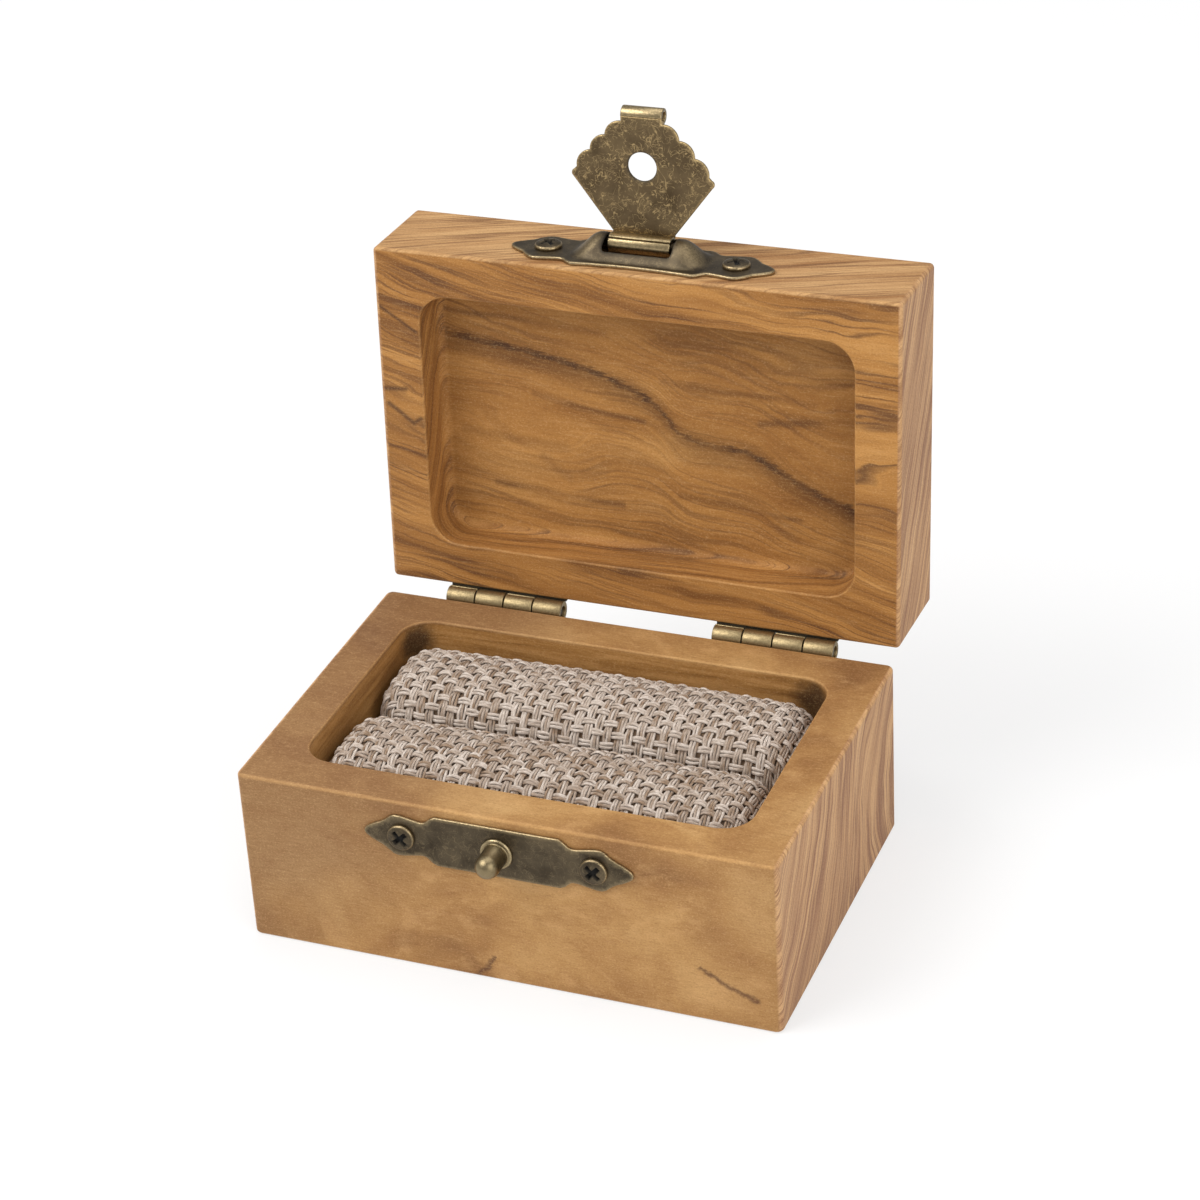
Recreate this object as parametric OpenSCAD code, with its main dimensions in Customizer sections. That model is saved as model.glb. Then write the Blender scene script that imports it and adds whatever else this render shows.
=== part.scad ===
// Ring display box: two routed wood blocks, two small butt hinges on the back,
// a hasp with a shell-shaped tongue, a catch plate with a knob, and two padded ring rolls.
// X runs across the front, +Y to the back, +Z up. The origin is the middle of the underside.
// At rest the lid stands open and the tongue stands out from the lid's front face.

/* [Wood blocks] */
// Width of the base and the lid
box_width = 70; // [60:1:110]
// Depth of the base and the lid, front to back
box_depth = 47; // [40:1:80]
// Height of the base block
base_height = 24; // [20:0.5:40]
// Height of the lid block
lid_height = 14; // [12:0.5:25]
// Thickness of the walls round both pockets
wall = 6; // [5.5:0.5:8]
// Wood left under the base pocket
base_floor = 6; // [3:0.5:8]
// Depth of the recess in the lid
lid_recess = 6; // [5:0.5:8]
// Radius of the base's upright corners
base_corner_radius = 1; // [0.6:0.1:3]
// Radius of the lid's upright corners
lid_corner_radius = 0.6; // [0.6:0.1:3]
// Radius of the pocket corners
pocket_radius = 4; // [3:0.5:7]
// Radius between the walls and the floor of a pocket
floor_radius = 1.2; // [0.6:0.1:1.4]
// Rounding along the sanded outer edges
edge_round = 0.45; // [0.2:0.05:0.5]
// Rounding along the mouth of a pocket
mouth_round = 0.3; // [0.1:0.05:0.6]
// Gap between the two rims when the lid is shut
rim_gap = 0.1; // [0.05:0.05:0.4]
// Angle of the open lid from shut, as it stands at rest
lid_open_angle = 93; // [60:1:120]

/* [Hinges] */
// From each end of the box to the middle of its hinge
hinge_inset = 16.4; // [12:0.2:19]
// Length of each hinge along its pin
hinge_length = 16.2; // [13:0.2:18]
// Knuckles on each hinge
knuckle_count = 4; // [2:1:6]
// Outside diameter of the knuckles
knuckle_diameter = 2.8; // [2.4:0.1:3.4]
// Gap between neighbouring knuckles
knuckle_gap = 0.16; // [0.1:0.02:0.3]
// Diameter of the hinge pin
hinge_pin_diameter = 1.3; // [1:0.1:1.6]
// Clearance round a pin, on the radius
pin_clearance = 0.05; // [0.02:0.01:0.08]
// Thickness of the hinge leaves
leaf_thickness = 0.5; // [0.4:0.1:0.8]
// Reach of a leaf from the pin to its far edge
leaf_reach = 6.6; // [6:0.2:8]
// Radius of the outer corners of a leaf
leaf_corner = 0.8; // [0.3:0.1:1.2]
// Distance between the two screws in one leaf
leaf_screw_spacing = 9.4; // [7:0.2:10]
// Distance from the pin to the row of screws in a leaf
leaf_screw_reach = 4.2; // [4:0.1:4.6]
// Space between a knuckle and the wood behind it
knuckle_standoff = 0.1; // [0.05:0.05:0.4]
// Distance of the pin below the rim of the base
hinge_drop = 0.35; // [0:0.05:0.8]

/* [Clasp] */
// Sideways place of the whole clasp, from the middle of the box
clasp_shift = -0.2; // [-3:0.1:3]
// Thickness of the clasp's sheet metal
sheet = 0.5; // [0.4:0.05:0.6]
// Length of both clasp plates, tip to tip
plate_length = 35; // [33:0.5:40]
// Distance between the two screws in a clasp plate
plate_screw_spacing = 25; // [24:0.5:27]
// Length of the full-height middle of a clasp plate
plate_middle = 16; // [15:0.5:17]
// Height of the hasp plate on the lid
hasp_plate_height = 8.4; // [7.6:0.2:8.8]
// Hollow of the hasp plate's edge nearest the rim
hasp_edge_hollow = 0.5; // [0.2:0.1:0.7]
// Height of the catch plate on the base
catch_plate_height = 7; // [6.4:0.2:8.6]
// Middle of the hasp plate above the lid's rim
hasp_plate_rise = 5; // [4.6:0.1:5.5]
// Tongue pin above the lid's rim
tongue_pin_rise = 5.2; // [5:0.1:6]
// Tongue pin in front of the wood
tongue_pin_height = 2; // [1.85:0.05:2]
// Diameter of the tongue pin
tongue_pin_diameter = 1.2; // [0.9:0.05:1.25]
// Length of the tongue pin
tongue_pin_length = 11.2; // [10.6:0.1:11.4]
// Outside diameter of the tongue's rolled barrel
barrel_diameter = 2.6; // [2.4:0.1:2.7]
// Length of the tongue's rolled barrel
barrel_length = 8.2; // [7.6:0.2:8.8]
// Gap at each end of the barrel in its window
window_side_gap = 0.5; // [0.3:0.05:0.6]
// Window from the pin towards the rim
window_front = 2.4; // [2.2:0.05:2.45]
// Gap between the standing tongue and the window's rear edge
stop_gap = 0.05; // [0.03:0.01:0.1]
// Outside height of the pressed dome
dome_height = 3.15; // [3.15:0.01:3.25]
// Length of the pressed dome
dome_length = 18.2; // [17:0.2:18.6]
// Width of the pressed dome where it meets the plate
dome_width = 5.4; // [5.2:0.1:5.6]
// Length over which each end of the dome falls away
dome_end = 3.7; // [3:0.1:4]

/* [Tongue] */
// Greatest width of the tongue
tongue_width = 18.8; // [17:0.2:22]
// From the pin to the widest place
tongue_corner_reach = 8.1; // [7:0.1:9]
// From the pin to the far end of the finger lip
tongue_reach = 17.4; // [16.5:0.1:20]
// From the pin to the middle of the eye
eye_reach = 9.9; // [9:0.1:11]
// Diameter of the eye
eye_diameter = 3.8; // [3.6:0.1:4.6]
// Width of the finger lip
lip_width = 5.4; // [4:0.1:7]
// Outside diameter of the finger lip's curl
lip_diameter = 2.1; // [1.8:0.1:2.6]
// Scallops on each side of the tongue
scallop_count = 3; // [2:1:5]
// Height of each scallop above the line of its valleys
scallop_bulge = 0.62; // [0.3:0.02:0.8]
// Radius of the small nub under the lowest scallop
nub_radius = 0.55; // [0.3:0.05:0.8]

/* [Knob and screws] */
// Diameter of the catch knob
knob_diameter = 3.1; // [2.4:0.1:3.2]
// Length of the knob in front of its plate
knob_length = 4.4; // [3.6:0.1:6]
// Diameter of the flange under the knob
flange_diameter = 4.2; // [3.6:0.1:4.8]
// Thickness of the flange under the knob
flange_thickness = 0.4; // [0.2:0.05:0.6]
// Diameter of the clasp screws' heads
clasp_head_diameter = 3.5; // [3:0.1:3.8]
// Height of the clasp screws' heads
clasp_head_height = 0.85; // [0.6:0.05:1]
// Diameter of the clasp screws' shanks
clasp_shank_diameter = 1.6; // [1.2:0.1:1.8]
// Depth of the clasp screws in the wood
clasp_screw_depth = 4.5; // [3:0.5:5]
// Diameter of the hinge screws' heads
hinge_head_diameter = 2.6; // [2.2:0.1:2.8]
// Height of the hinge screws' heads
hinge_head_height = 0.6; // [0.4:0.05:0.7]
// Diameter of the hinge screws' shanks
hinge_shank_diameter = 1.3; // [1:0.1:1.5]
// Depth of the hinge screws in the wood
hinge_screw_depth = 4; // [3:0.5:5]

/* [Ring rolls] */
// Height of the padded rolls
roll_height = 17.6; // [14:0.2:17.8]
// Gap between a roll and the pocket walls, and between the two rolls
roll_gap = 0.35; // [0.2:0.05:0.8]
// Thickness of the woven cover
cover_thickness = 0.9; // [0.5:0.1:1.4]
// Height at which the sides begin to curve into the crown
shoulder_height = 9.5; // [7:0.5:10]
// Length over which each end is drawn in from crown to side
end_draw = 5.5; // [4:0.5:9]
// Radius of the rolls' upright corners
roll_corner = 4.4; // [4:0.1:7]
// Drop of the crown from the middle of a roll to its ends
crown_drop = 0.4; // [0:0.1:1.5]
// Tuck of the cover's lower edge under the roll
edge_tuck = 2; // [1.6:0.1:2.4]

/* [Hidden] */
$fn = 48;
slack = 0.02;            // shank in its pilot hole, on the radius
through = 0.15;          // shank in a plate's hole, on the radius
overcut = 1;             // how far a cutting shape runs past a face

wood = [0.70, 0.51, 0.31];
bronze = [0.42, 0.37, 0.27];
brass = [0.60, 0.53, 0.38];
linen = [0.73, 0.67, 0.62];
foam = [0.93, 0.91, 0.84];

pocket_width = box_width - 2 * wall;
pocket_depth = box_depth - 2 * wall;
hinge_x = box_width / 2 - hinge_inset;
back_face = box_depth / 2;
front_face = -box_depth / 2;

knuckle_radius = knuckle_diameter / 2;
hinge_pin_radius = hinge_pin_diameter / 2;
hinge_axis_y = back_face + knuckle_standoff + knuckle_radius;
hinge_axis_z = base_height - hinge_drop;
knuckle_pitch = (hinge_length + knuckle_gap) / knuckle_count;
knuckle_length = knuckle_pitch - knuckle_gap;
leaf_shoulder = knuckle_radius + 0.2;
hinge_sides = [-1, 1];

barrel_radius = barrel_diameter / 2;
tongue_pin_radius = tongue_pin_diameter / 2;
lip_radius = lip_diameter / 2;
knob_height = base_height + rim_gap + tongue_pin_rise - eye_reach;
window_width = barrel_length + 2 * window_side_gap;
plate_screw_x = plate_screw_spacing / 2;
dome_half_width = dome_width / 2;
dome_radius = (pow(dome_half_width, 2) + pow(dome_height - sheet, 2)) / (2 * (dome_height - sheet));
dome_centre = dome_height - dome_radius;
dome_fall = dome_radius - (sheet - dome_centre);
dome_end_radius = (pow(dome_end, 2) + pow(dome_fall, 2)) / (2 * dome_fall);
dome_tip = 0.15;         // radius of the flat at each end of the hollow under the dome

roll_length = pocket_width - 2 * roll_gap;
roll_width = (pocket_depth - 3 * roll_gap) / 2;
roll_place = (roll_width + roll_gap) / 2;
core_fit = 0.05;         // space between a cover and its core

// ---------- shared shapes ----------

// Rectangle with rounded corners, centred across, standing on the x axis
module round_section(width, height, radius) {
    translate([-width / 2 + radius, 0]) square([width - 2 * radius, height]);
    translate([-width / 2, radius]) square([width, height - 2 * radius]);
    for (x = [-1, 1], y = [radius, height - radius])
        translate([x * (width / 2 - radius), y]) circle(radius);
}

// Section of a pocket: rounded at the floor, opening with a small radius at the mouth
module pocket_section(width, depth) {
    translate([-width / 2 + floor_radius, 0]) square([width - 2 * floor_radius, depth + overcut]);
    translate([-width / 2, floor_radius]) square([width, depth + overcut - floor_radius]);
    for (x = [-1, 1]) {
        translate([x * (width / 2 - floor_radius), floor_radius]) circle(floor_radius);
        difference() {
            translate([x * width / 2, depth - mouth_round / 2]) square(2 * mouth_round, center = true);
            translate([x * (width / 2 + mouth_round), depth - mouth_round]) circle(mouth_round);
            translate([x * (width / 2 + mouth_round), depth - 2.5 * mouth_round])
                square([2 * mouth_round, 3 * mouth_round], center = true);
        }
        translate([x * width / 2, depth + overcut / 2])
            square([2 * mouth_round, overcut], center = true);
    }
}

// Sweeps a section round a rounded rectangle: two slabs and four corner posts
module swept_rectangle(width, depth, radius) {
    rotate([90, 0, 0]) linear_extrude(depth - 2 * radius, center = true) children(0);
    rotate([90, 0, 90]) linear_extrude(width - 2 * radius, center = true) children(1);
    for (x = [-1, 1], y = [-1, 1])
        translate([x * (width / 2 - radius), y * (depth / 2 - radius), 0])
            rotate_extrude() intersection() {
                children(2);
                translate([0, -overcut]) square([width, width]);
            }
}

// Wood block with rounded upright corners and eased edges
module block(height, radius) {
    swept_rectangle(box_width, box_depth, radius) {
        round_section(box_width, height, edge_round);
        round_section(box_depth, height, edge_round);
        round_section(2 * radius, height, edge_round);
    }
}

// What the router takes out, with its mouth at z = 0
module pocket(depth) {
    translate([0, 0, -depth]) swept_rectangle(pocket_width, pocket_depth, pocket_radius) {
        pocket_section(pocket_width, depth);
        pocket_section(pocket_depth, depth);
        pocket_section(2 * pocket_radius, depth);
    }
}

// Puts what is drawn for the shut lid, with its rim at z = 0, in the open pose
module on_open_lid() {
    translate([0, hinge_axis_y, hinge_axis_z]) rotate([-lid_open_angle, 0, 0])
        translate([0, -hinge_axis_y, hinge_drop + rim_gap]) children();
}

// Front faces: x across, y up the face, z out of the wood
module on_front() {
    translate([clasp_shift, front_face, 0]) rotate([90, 0, 0]) children();
}

// Back faces: x across, y up the face, z out of the wood
module on_back() {
    translate([0, back_face, 0]) rotate([90, 0, 180]) children();
}

// Closed outline from the points of its right-hand half
function both_sides(half) = concat(half, [for (i = [len(half) - 1 : -1 : 0])
    [-half[i][0], half[i][1]]]);

module along_x(length) {
    rotate([90, 0, 90]) linear_extrude(length, center = true) children();
}

// Low-domed head with a cross recess, and a plain shank, seated at z = 0
module screw(head_diameter, head_height, shank_diameter, depth) {
    rim = 0.4 * head_height;
    rise = head_height - rim;
    crown_radius = (pow(head_diameter / 2, 2) + pow(rise, 2)) / (2 * rise);
    recess_length = 0.6 * head_diameter;
    recess_width = 0.19 * head_diameter;
    recess_depth = 0.62 * head_height;
    difference() {
        union() {
            cylinder(h = rim, d = head_diameter);
            translate([0, 0, rim]) intersection() {
                cylinder(h = rise, d = head_diameter);
                translate([0, 0, rise - crown_radius]) sphere(crown_radius);
            }
        }
        for (turn = [0, 90])
            rotate([0, 0, turn]) translate([0, 0, head_height])
                cube([recess_length, recess_width, 2 * recess_depth], center = true);
    }
    translate([0, 0, -depth]) cylinder(h = depth, d = shank_diameter);
}

module pilot(shank_diameter, depth) {
    translate([0, 0, -depth - slack]) cylinder(h = depth + overcut, r = shank_diameter / 2 + slack);
}

// ---------- places of the screws ----------

module at_plate_screws(rise) {
    for (x = [-1, 1]) translate([x * plate_screw_x, rise, 0]) children();
}

// Two screws in each leaf; up is 1 for the lid's leaves and -1 for the base's
module at_leaf_screws(axis_height, up) {
    for (side = hinge_sides, x = [-1, 1])
        translate([side * hinge_x + x * leaf_screw_spacing / 2,
                   axis_height + up * leaf_screw_reach, 0]) children();
}

module clasp_screw() {
    translate([0, 0, sheet])
        screw(clasp_head_diameter, clasp_head_height, clasp_shank_diameter, clasp_screw_depth + sheet);
}

module hinge_screw() {
    translate([0, 0, leaf_thickness])
        screw(hinge_head_diameter, hinge_head_height, hinge_shank_diameter,
              hinge_screw_depth + leaf_thickness);
}

// ---------- wood ----------

tail_diameter = 2.4;     // peened tail of the knob, behind its plate
tail_length = 0.8;
stem_radius = 0.8;       // knob's stem where it passes through the plate

module base_box() {
    color(wood) difference() {
        block(base_height, base_corner_radius);
        translate([0, 0, base_height]) pocket(base_height - base_floor);
        on_front() at_plate_screws(knob_height) pilot(clasp_shank_diameter, clasp_screw_depth);
        on_front() translate([0, knob_height, 0])
            pilot(tail_diameter + 2 * through, tail_length + through);
        on_back() at_leaf_screws(hinge_axis_z, -1) pilot(hinge_shank_diameter, hinge_screw_depth);
    }
}

module lid() {
    color(wood) on_open_lid() difference() {
        block(lid_height, lid_corner_radius);
        mirror([0, 0, 1]) pocket(lid_recess);
        on_front() at_plate_screws(hasp_plate_rise) pilot(clasp_shank_diameter, clasp_screw_depth);
        on_back() at_leaf_screws(-hinge_drop - rim_gap, 1)
            pilot(hinge_shank_diameter, hinge_screw_depth);
    }
}

// ---------- hinges ----------

// Middle of a knuckle along the pin, counted from the left
function knuckle_x(i) = -hinge_length / 2 + knuckle_length / 2 + i * knuckle_pitch;

// Leaf drawn on a back face with the pin's axis at y = 0 and the sheet running to +y
module leaf(first_knuckle) {
    axis_out = knuckle_standoff + knuckle_radius;
    difference() {
        union() {
            linear_extrude(leaf_thickness) {
                translate([-hinge_length / 2, leaf_shoulder])
                    square([hinge_length, leaf_reach - leaf_corner - leaf_shoulder]);
                translate([-hinge_length / 2 + leaf_corner, leaf_shoulder])
                    square([hinge_length - 2 * leaf_corner, leaf_reach - leaf_shoulder]);
                for (x = [-1, 1])
                    translate([x * (hinge_length / 2 - leaf_corner), leaf_reach - leaf_corner])
                        circle(leaf_corner);
            }
            for (i = [first_knuckle : 2 : knuckle_count - 1]) {
                translate([knuckle_x(i) - knuckle_length / 2, 0, 0])
                    cube([knuckle_length, leaf_shoulder + overcut, leaf_thickness]);
                translate([knuckle_x(i), 0, axis_out])
                    rotate([0, 90, 0]) cylinder(h = knuckle_length, r = knuckle_radius, center = true);
            }
        }
        translate([0, 0, axis_out]) rotate([0, 90, 0])
            cylinder(h = hinge_length + overcut, r = hinge_pin_radius + pin_clearance, center = true);
        for (x = [-1, 1])
            translate([x * leaf_screw_spacing / 2, leaf_screw_reach, -overcut])
                cylinder(h = leaf_thickness + 2 * overcut, r = hinge_shank_diameter / 2 + through);
    }
}

module base_leaf(side) {
    on_back() translate([-side * hinge_x, hinge_axis_z, 0]) mirror([0, 1, 0]) leaf(0);
}

module lid_leaf(side) {
    on_open_lid() on_back() translate([-side * hinge_x, -hinge_drop - rim_gap, 0])
        leaf(1);
}

module hinge_pin(side) {
    translate([side * hinge_x, hinge_axis_y, hinge_axis_z])
        rotate([0, 90, 0]) cylinder(h = hinge_length, r = hinge_pin_radius, center = true);
}

module left_hinge_base_leaf() { color(brass) base_leaf(-1); }
module left_hinge_lid_leaf() { color(brass) lid_leaf(-1); }
module left_hinge_pin() { color(bronze) hinge_pin(-1); }
module right_hinge_base_leaf() { color(brass) base_leaf(1); }
module right_hinge_lid_leaf() { color(brass) lid_leaf(1); }
module right_hinge_pin() { color(bronze) hinge_pin(1); }

module base_hinge_screws() {
    color(bronze) on_back() at_leaf_screws(hinge_axis_z, -1) hinge_screw();
}

module lid_hinge_screws() {
    color(bronze) on_open_lid() on_back() at_leaf_screws(-hinge_drop - rim_gap, 1) hinge_screw();
}

// ---------- clasp plates ----------

ear_step = 0.6;          // how much lower than the middle an ear is, on each side
neck_step = 1.1;         // how much lower than the middle the neck is, on each side
ear_past_screw = 0.9;    // ear's highest place, out from the screw
ear_radius = 0.7;
tip_radius = 0.55;
neck_run = 1.8;          // from the end of the middle to the neck

// Bracket-shaped sheet with ogee ends and its two screw holes
module bracket_plate(height) {
    half = height / 2;
    ear_x = plate_screw_x + ear_past_screw;
    tip_x = plate_length / 2 - tip_radius;
    waist_x = (ear_x + tip_x) / 2;
    waist_y = 0.36 * half;
    quarter = [
        [plate_middle / 2, half],
        [plate_middle / 2 + neck_run, half - neck_step],
        [ear_x - 0.6 * ear_radius, half - ear_step - 0.2 * ear_radius],
        [ear_x + 0.6 * ear_radius, half - ear_step - 0.4 * ear_radius],
        [waist_x, waist_y],
        [tip_x, 0.9 * tip_radius]
    ];
    difference() {
        union() {
            linear_extrude(sheet) polygon(both_sides(concat(quarter,
                [for (i = [len(quarter) - 1 : -1 : 0]) [quarter[i][0], -quarter[i][1]]])));
            for (x = [-1, 1]) {
                translate([x * tip_x, 0, 0]) cylinder(h = sheet, r = tip_radius);
                for (y = [-1, 1]) translate([x * ear_x, y * (half - ear_step - ear_radius), 0])
                    cylinder(h = sheet, r = ear_radius);
            }
        }
        for (x = [-1, 1]) translate([x * plate_screw_x, 0, -overcut])
            cylinder(h = sheet + 2 * overcut, r = clasp_shank_diameter / 2 + through);
    }
}

// Bar along x whose ends fall away in an arc to a small flat; inset moves it all inwards
module dome_solid(inset, tip) {
    arc = dome_end_radius - inset;
    arc_centre = dome_radius - dome_end_radius;
    arc_run = sqrt(pow(arc, 2) - pow(tip - arc_centre, 2));
    straight = dome_length / 2 - dome_end;
    rotate([0, 90, 0]) rotate_extrude() {
        translate([0, -straight]) square([dome_radius - inset, 2 * straight]);
        for (y = [-1, 1]) intersection() {
            translate([arc_centre, y * straight]) circle(arc);
            translate([0, y * (straight + arc_run) / 2])
                square([2 * dome_radius, straight + arc_run], center = true);
            translate([0, -dome_length]) square([dome_length, 2 * dome_length]);
        }
    }
}

module outer_dome() { dome_solid(0, dome_radius - dome_fall); }
module inner_dome() { dome_solid(sheet, dome_tip); }

// Drawn flat: pin's axis at y = 0, z = tongue_pin_height
module hasp_plate_shape() {
    window_rear = barrel_radius + stop_gap;
    plate_edge = hasp_plate_rise - tongue_pin_rise - hasp_plate_height / 2;
    hollow_radius = (pow(plate_middle / 2, 2) + pow(hasp_edge_hollow, 2)) / (2 * hasp_edge_hollow);
    difference() {
        union() {
            translate([0, hasp_plate_rise - tongue_pin_rise, 0]) bracket_plate(hasp_plate_height);
            intersection() {
                translate([0, 0, dome_centre]) outer_dome();
                translate([-dome_length / 2, -dome_width, 0])
                    cube([dome_length, 2 * dome_width, 2 * dome_height]);
            }
        }
        translate([0, 0, dome_centre]) inner_dome();
        translate([0, plate_edge + hasp_edge_hollow - hollow_radius, -overcut])
            cylinder(h = sheet + 2 * overcut, r = hollow_radius, $fn = 192);
        translate([-window_width / 2, -window_front, -overcut])
            cube([window_width, window_front + window_rear, dome_height + 2 * overcut]);
    }
}

module hasp_plate() {
    color(bronze) on_open_lid() on_front() translate([0, tongue_pin_rise, 0]) hasp_plate_shape();
}

module hasp_screws() {
    color(bronze) on_open_lid() on_front() at_plate_screws(hasp_plate_rise) clasp_screw();
}

module tongue_pin() {
    color(bronze) on_open_lid() on_front() translate([0, tongue_pin_rise, tongue_pin_height])
        rotate([0, 90, 0]) cylinder(h = tongue_pin_length, r = tongue_pin_radius, center = true);
}

module catch_plate() {
    color(bronze) on_front() translate([0, knob_height, 0]) difference() {
        bracket_plate(catch_plate_height);
        translate([0, 0, -overcut]) cylinder(h = sheet + 2 * overcut, r = stem_radius + slack);
    }
}

module catch_screws() {
    color(bronze) on_front() at_plate_screws(knob_height) clasp_screw();
}

// Bullet-nosed post on a flange, with a stem through the plate and a peened tail
module catch_knob() {
    nose = knob_diameter / 2;
    color(bronze) on_front() translate([0, knob_height, 0]) {
        translate([0, 0, sheet]) {
            cylinder(h = flange_thickness, d = flange_diameter);
            cylinder(h = knob_length - nose, d = knob_diameter);
            translate([0, 0, knob_length - nose]) sphere(nose);
        }
        translate([0, 0, -tail_length / 2])
            cylinder(h = tail_length / 2 + sheet + flange_thickness, r = stem_radius);
        translate([0, 0, -tail_length]) cylinder(h = tail_length, d = tail_diameter);
    }
}

// ---------- tongue ----------

foot_reach = barrel_radius - 0.1;   // where the fan begins to widen
lip_foot = tongue_reach - lip_radius;
nub_rise = 0.25;
valley_start = [tongue_width / 2 - 1.25 * nub_radius, tongue_corner_reach + nub_rise + 1.6 * nub_radius];
valley_end = [lip_width / 2, tongue_reach - 1.7 * lip_radius];
valley_bow = 0.3;
neck_inset = 0.1;       // the sheet's straight edges start inside the scallops' circles
valley_inset = 0.3;

// Valleys between the scallops, from the nub to the lip, on a slightly bowed line
function valley(i) =
    let (t = i / scallop_count, run = valley_end - valley_start, out = [run[1], -run[0]] / norm(run))
    valley_start + t * run + valley_bow * sin(180 * t) * out;

// Centre and radius of the circle through two valleys that stands out by the bulge
function scallop_circle(p, q) =
    let (chord = norm(q - p), radius = (chord * chord / 4 + scallop_bulge * scallop_bulge)
        / (2 * scallop_bulge), out = [(q - p)[1], -(q - p)[0]] / chord)
    [(p + q) / 2 + (scallop_bulge - radius) * out, radius];

module fan_outline() {
    nub = [tongue_width / 2 - nub_radius, tongue_corner_reach + nub_rise];
    polygon(both_sides(concat(
        [[barrel_length / 2, 0], [barrel_length / 2, foot_reach]],
        [[tongue_width / 2 - 0.3 * nub_radius, tongue_corner_reach - 0.2 * nub_radius], nub],
        [valley(0) - [neck_inset, 0]],
        [for (i = [1 : scallop_count - 1]) valley(i) - [valley_inset, valley_inset]],
        [valley(scallop_count) - [0, valley_inset], [lip_width / 2, lip_foot]])));
    for (x = [0, 1]) mirror([x, 0]) {
        translate(nub) circle(nub_radius);
        for (i = [0 : scallop_count - 1]) {
            arc = scallop_circle(valley(i), valley(i + 1));
            translate(arc[0]) circle(arc[1]);
        }
    }
}

// Section of the finger lip: three quarters of a ring, open towards the fan
module lip_section() {
    difference() {
        circle(lip_radius);
        circle(lip_radius - sheet);
        translate([0, -lip_diameter]) square([lip_diameter, lip_diameter]);
    }
}

// Standing tongue: pin's axis along x at the origin, reach along +z, wood side at -y
module tongue_shape() {
    seam_width = 0.16;
    seam_turn = 35;
    difference() {
        union() {
            translate([0, barrel_radius, 0]) rotate([90, 0, 0]) linear_extrude(sheet) difference() {
                fan_outline();
                translate([0, eye_reach]) circle(d = eye_diameter);
            }
            rotate([0, 90, 0]) cylinder(h = barrel_length, r = barrel_radius, center = true);
            translate([0, barrel_radius - sheet + lip_radius, lip_foot])
                along_x(lip_width) lip_section();
        }
        rotate([0, 90, 0])
            cylinder(h = barrel_length + overcut, r = tongue_pin_radius + pin_clearance, center = true);
        rotate([-seam_turn, 0, 0]) translate([0, -barrel_radius, 0])
            cube([barrel_length + overcut, barrel_diameter - tongue_pin_diameter, seam_width],
                 center = true);
    }
}

module hasp_tongue() {
    color(bronze) on_open_lid() on_front() translate([0, tongue_pin_rise, tongue_pin_height])
        tongue_shape();
}

// ---------- ring rolls ----------

corner_steps = 4;        // points on each upright corner, less one
side_steps = 7;          // stretches along each long side
crown_steps = 6;         // rings from the shoulder to the crown
crown_power = 2.5;       // fullness of the crown, 2 is an ellipse
ridge = 0.04;            // half-width left at the ridge, as a share of the roll's

// Inset and height of each ring, from the tucked lower edge to the crown
function ring_profile() = concat(
    [[edge_tuck, 0], [0.25 * edge_tuck, 0.45 * edge_tuck], [0, edge_tuck], [0, shoulder_height]],
    [for (i = [1 : crown_steps])
        let (a = 90 * i / crown_steps)
        [roll_width / 2 * (1 - ridge) * (1 - pow(cos(a), 2 / crown_power)),
         shoulder_height + (roll_height - shoulder_height) * pow(sin(a), 2 / crown_power)]]);

// Rounded rectangle, anticlockwise from the right-hand end, mirrored about y = 0
function ring_outline(a, b, r) =
    let (quarter = [for (i = [0 : corner_steps])
            let (t = 90 * i / corner_steps) [a - r + r * cos(t), b - r + r * sin(t)]],
         side = [for (i = [1 : side_steps - 1]) [(a - r) * (1 - 2 * i / side_steps), b]],
         back = concat(quarter, side, [for (i = [corner_steps : -1 : 0])
            [-quarter[i][0], quarter[i][1]]]))
    concat(back, [for (i = [len(back) - 1 : -1 : 0]) [back[i][0], -back[i][1]]]);

function ring_points() = [
    for (ring = ring_profile())
        let (half_width = roll_width / 2 - ring[0],
             half_length = roll_length / 2 - ring[0] * end_draw / (roll_width / 2))
        [for (p = ring_outline(half_length, half_width, min(roll_corner, half_width)))
            let (lift = ring[1] / roll_height, along = 2 * p[0] / roll_length)
            [p[0], p[1], ring[1] - crown_drop * lift * along * along]]];

function flatten(rings) = [for (ring = rings, p = ring) p];

// Triangles between neighbouring rings, seen from outside
function wall_faces(rings, per_ring, start = 0, flip = false) = [
    for (k = [0 : rings - 2], i = [0 : per_ring - 1])
        let (j = (i + 1) % per_ring, a = start + k * per_ring + i, b = start + k * per_ring + j,
             c = b + per_ring, d = a + per_ring)
        each flip ? [[a, b, c], [a, c, d]] : [[a, c, b], [a, d, c]]];

// Triangles across one ring, seen from above
function cap_faces(per_ring, start, flip = false) = [
    for (i = [0 : per_ring / 2 - 2])
        let (a = start + i, b = a + 1, c = start + per_ring - 2 - i, d = c + 1)
        each flip ? [[a, b, c], [a, c, d]] : [[a, c, b], [a, d, c]]];

function shrink(points, by) = [
    for (p = points)
        [p[0] * (1 - 2 * by / roll_length), p[1] * (1 - 2 * by / roll_width),
         p[2] * (1 - by / roll_height)]];

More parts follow.
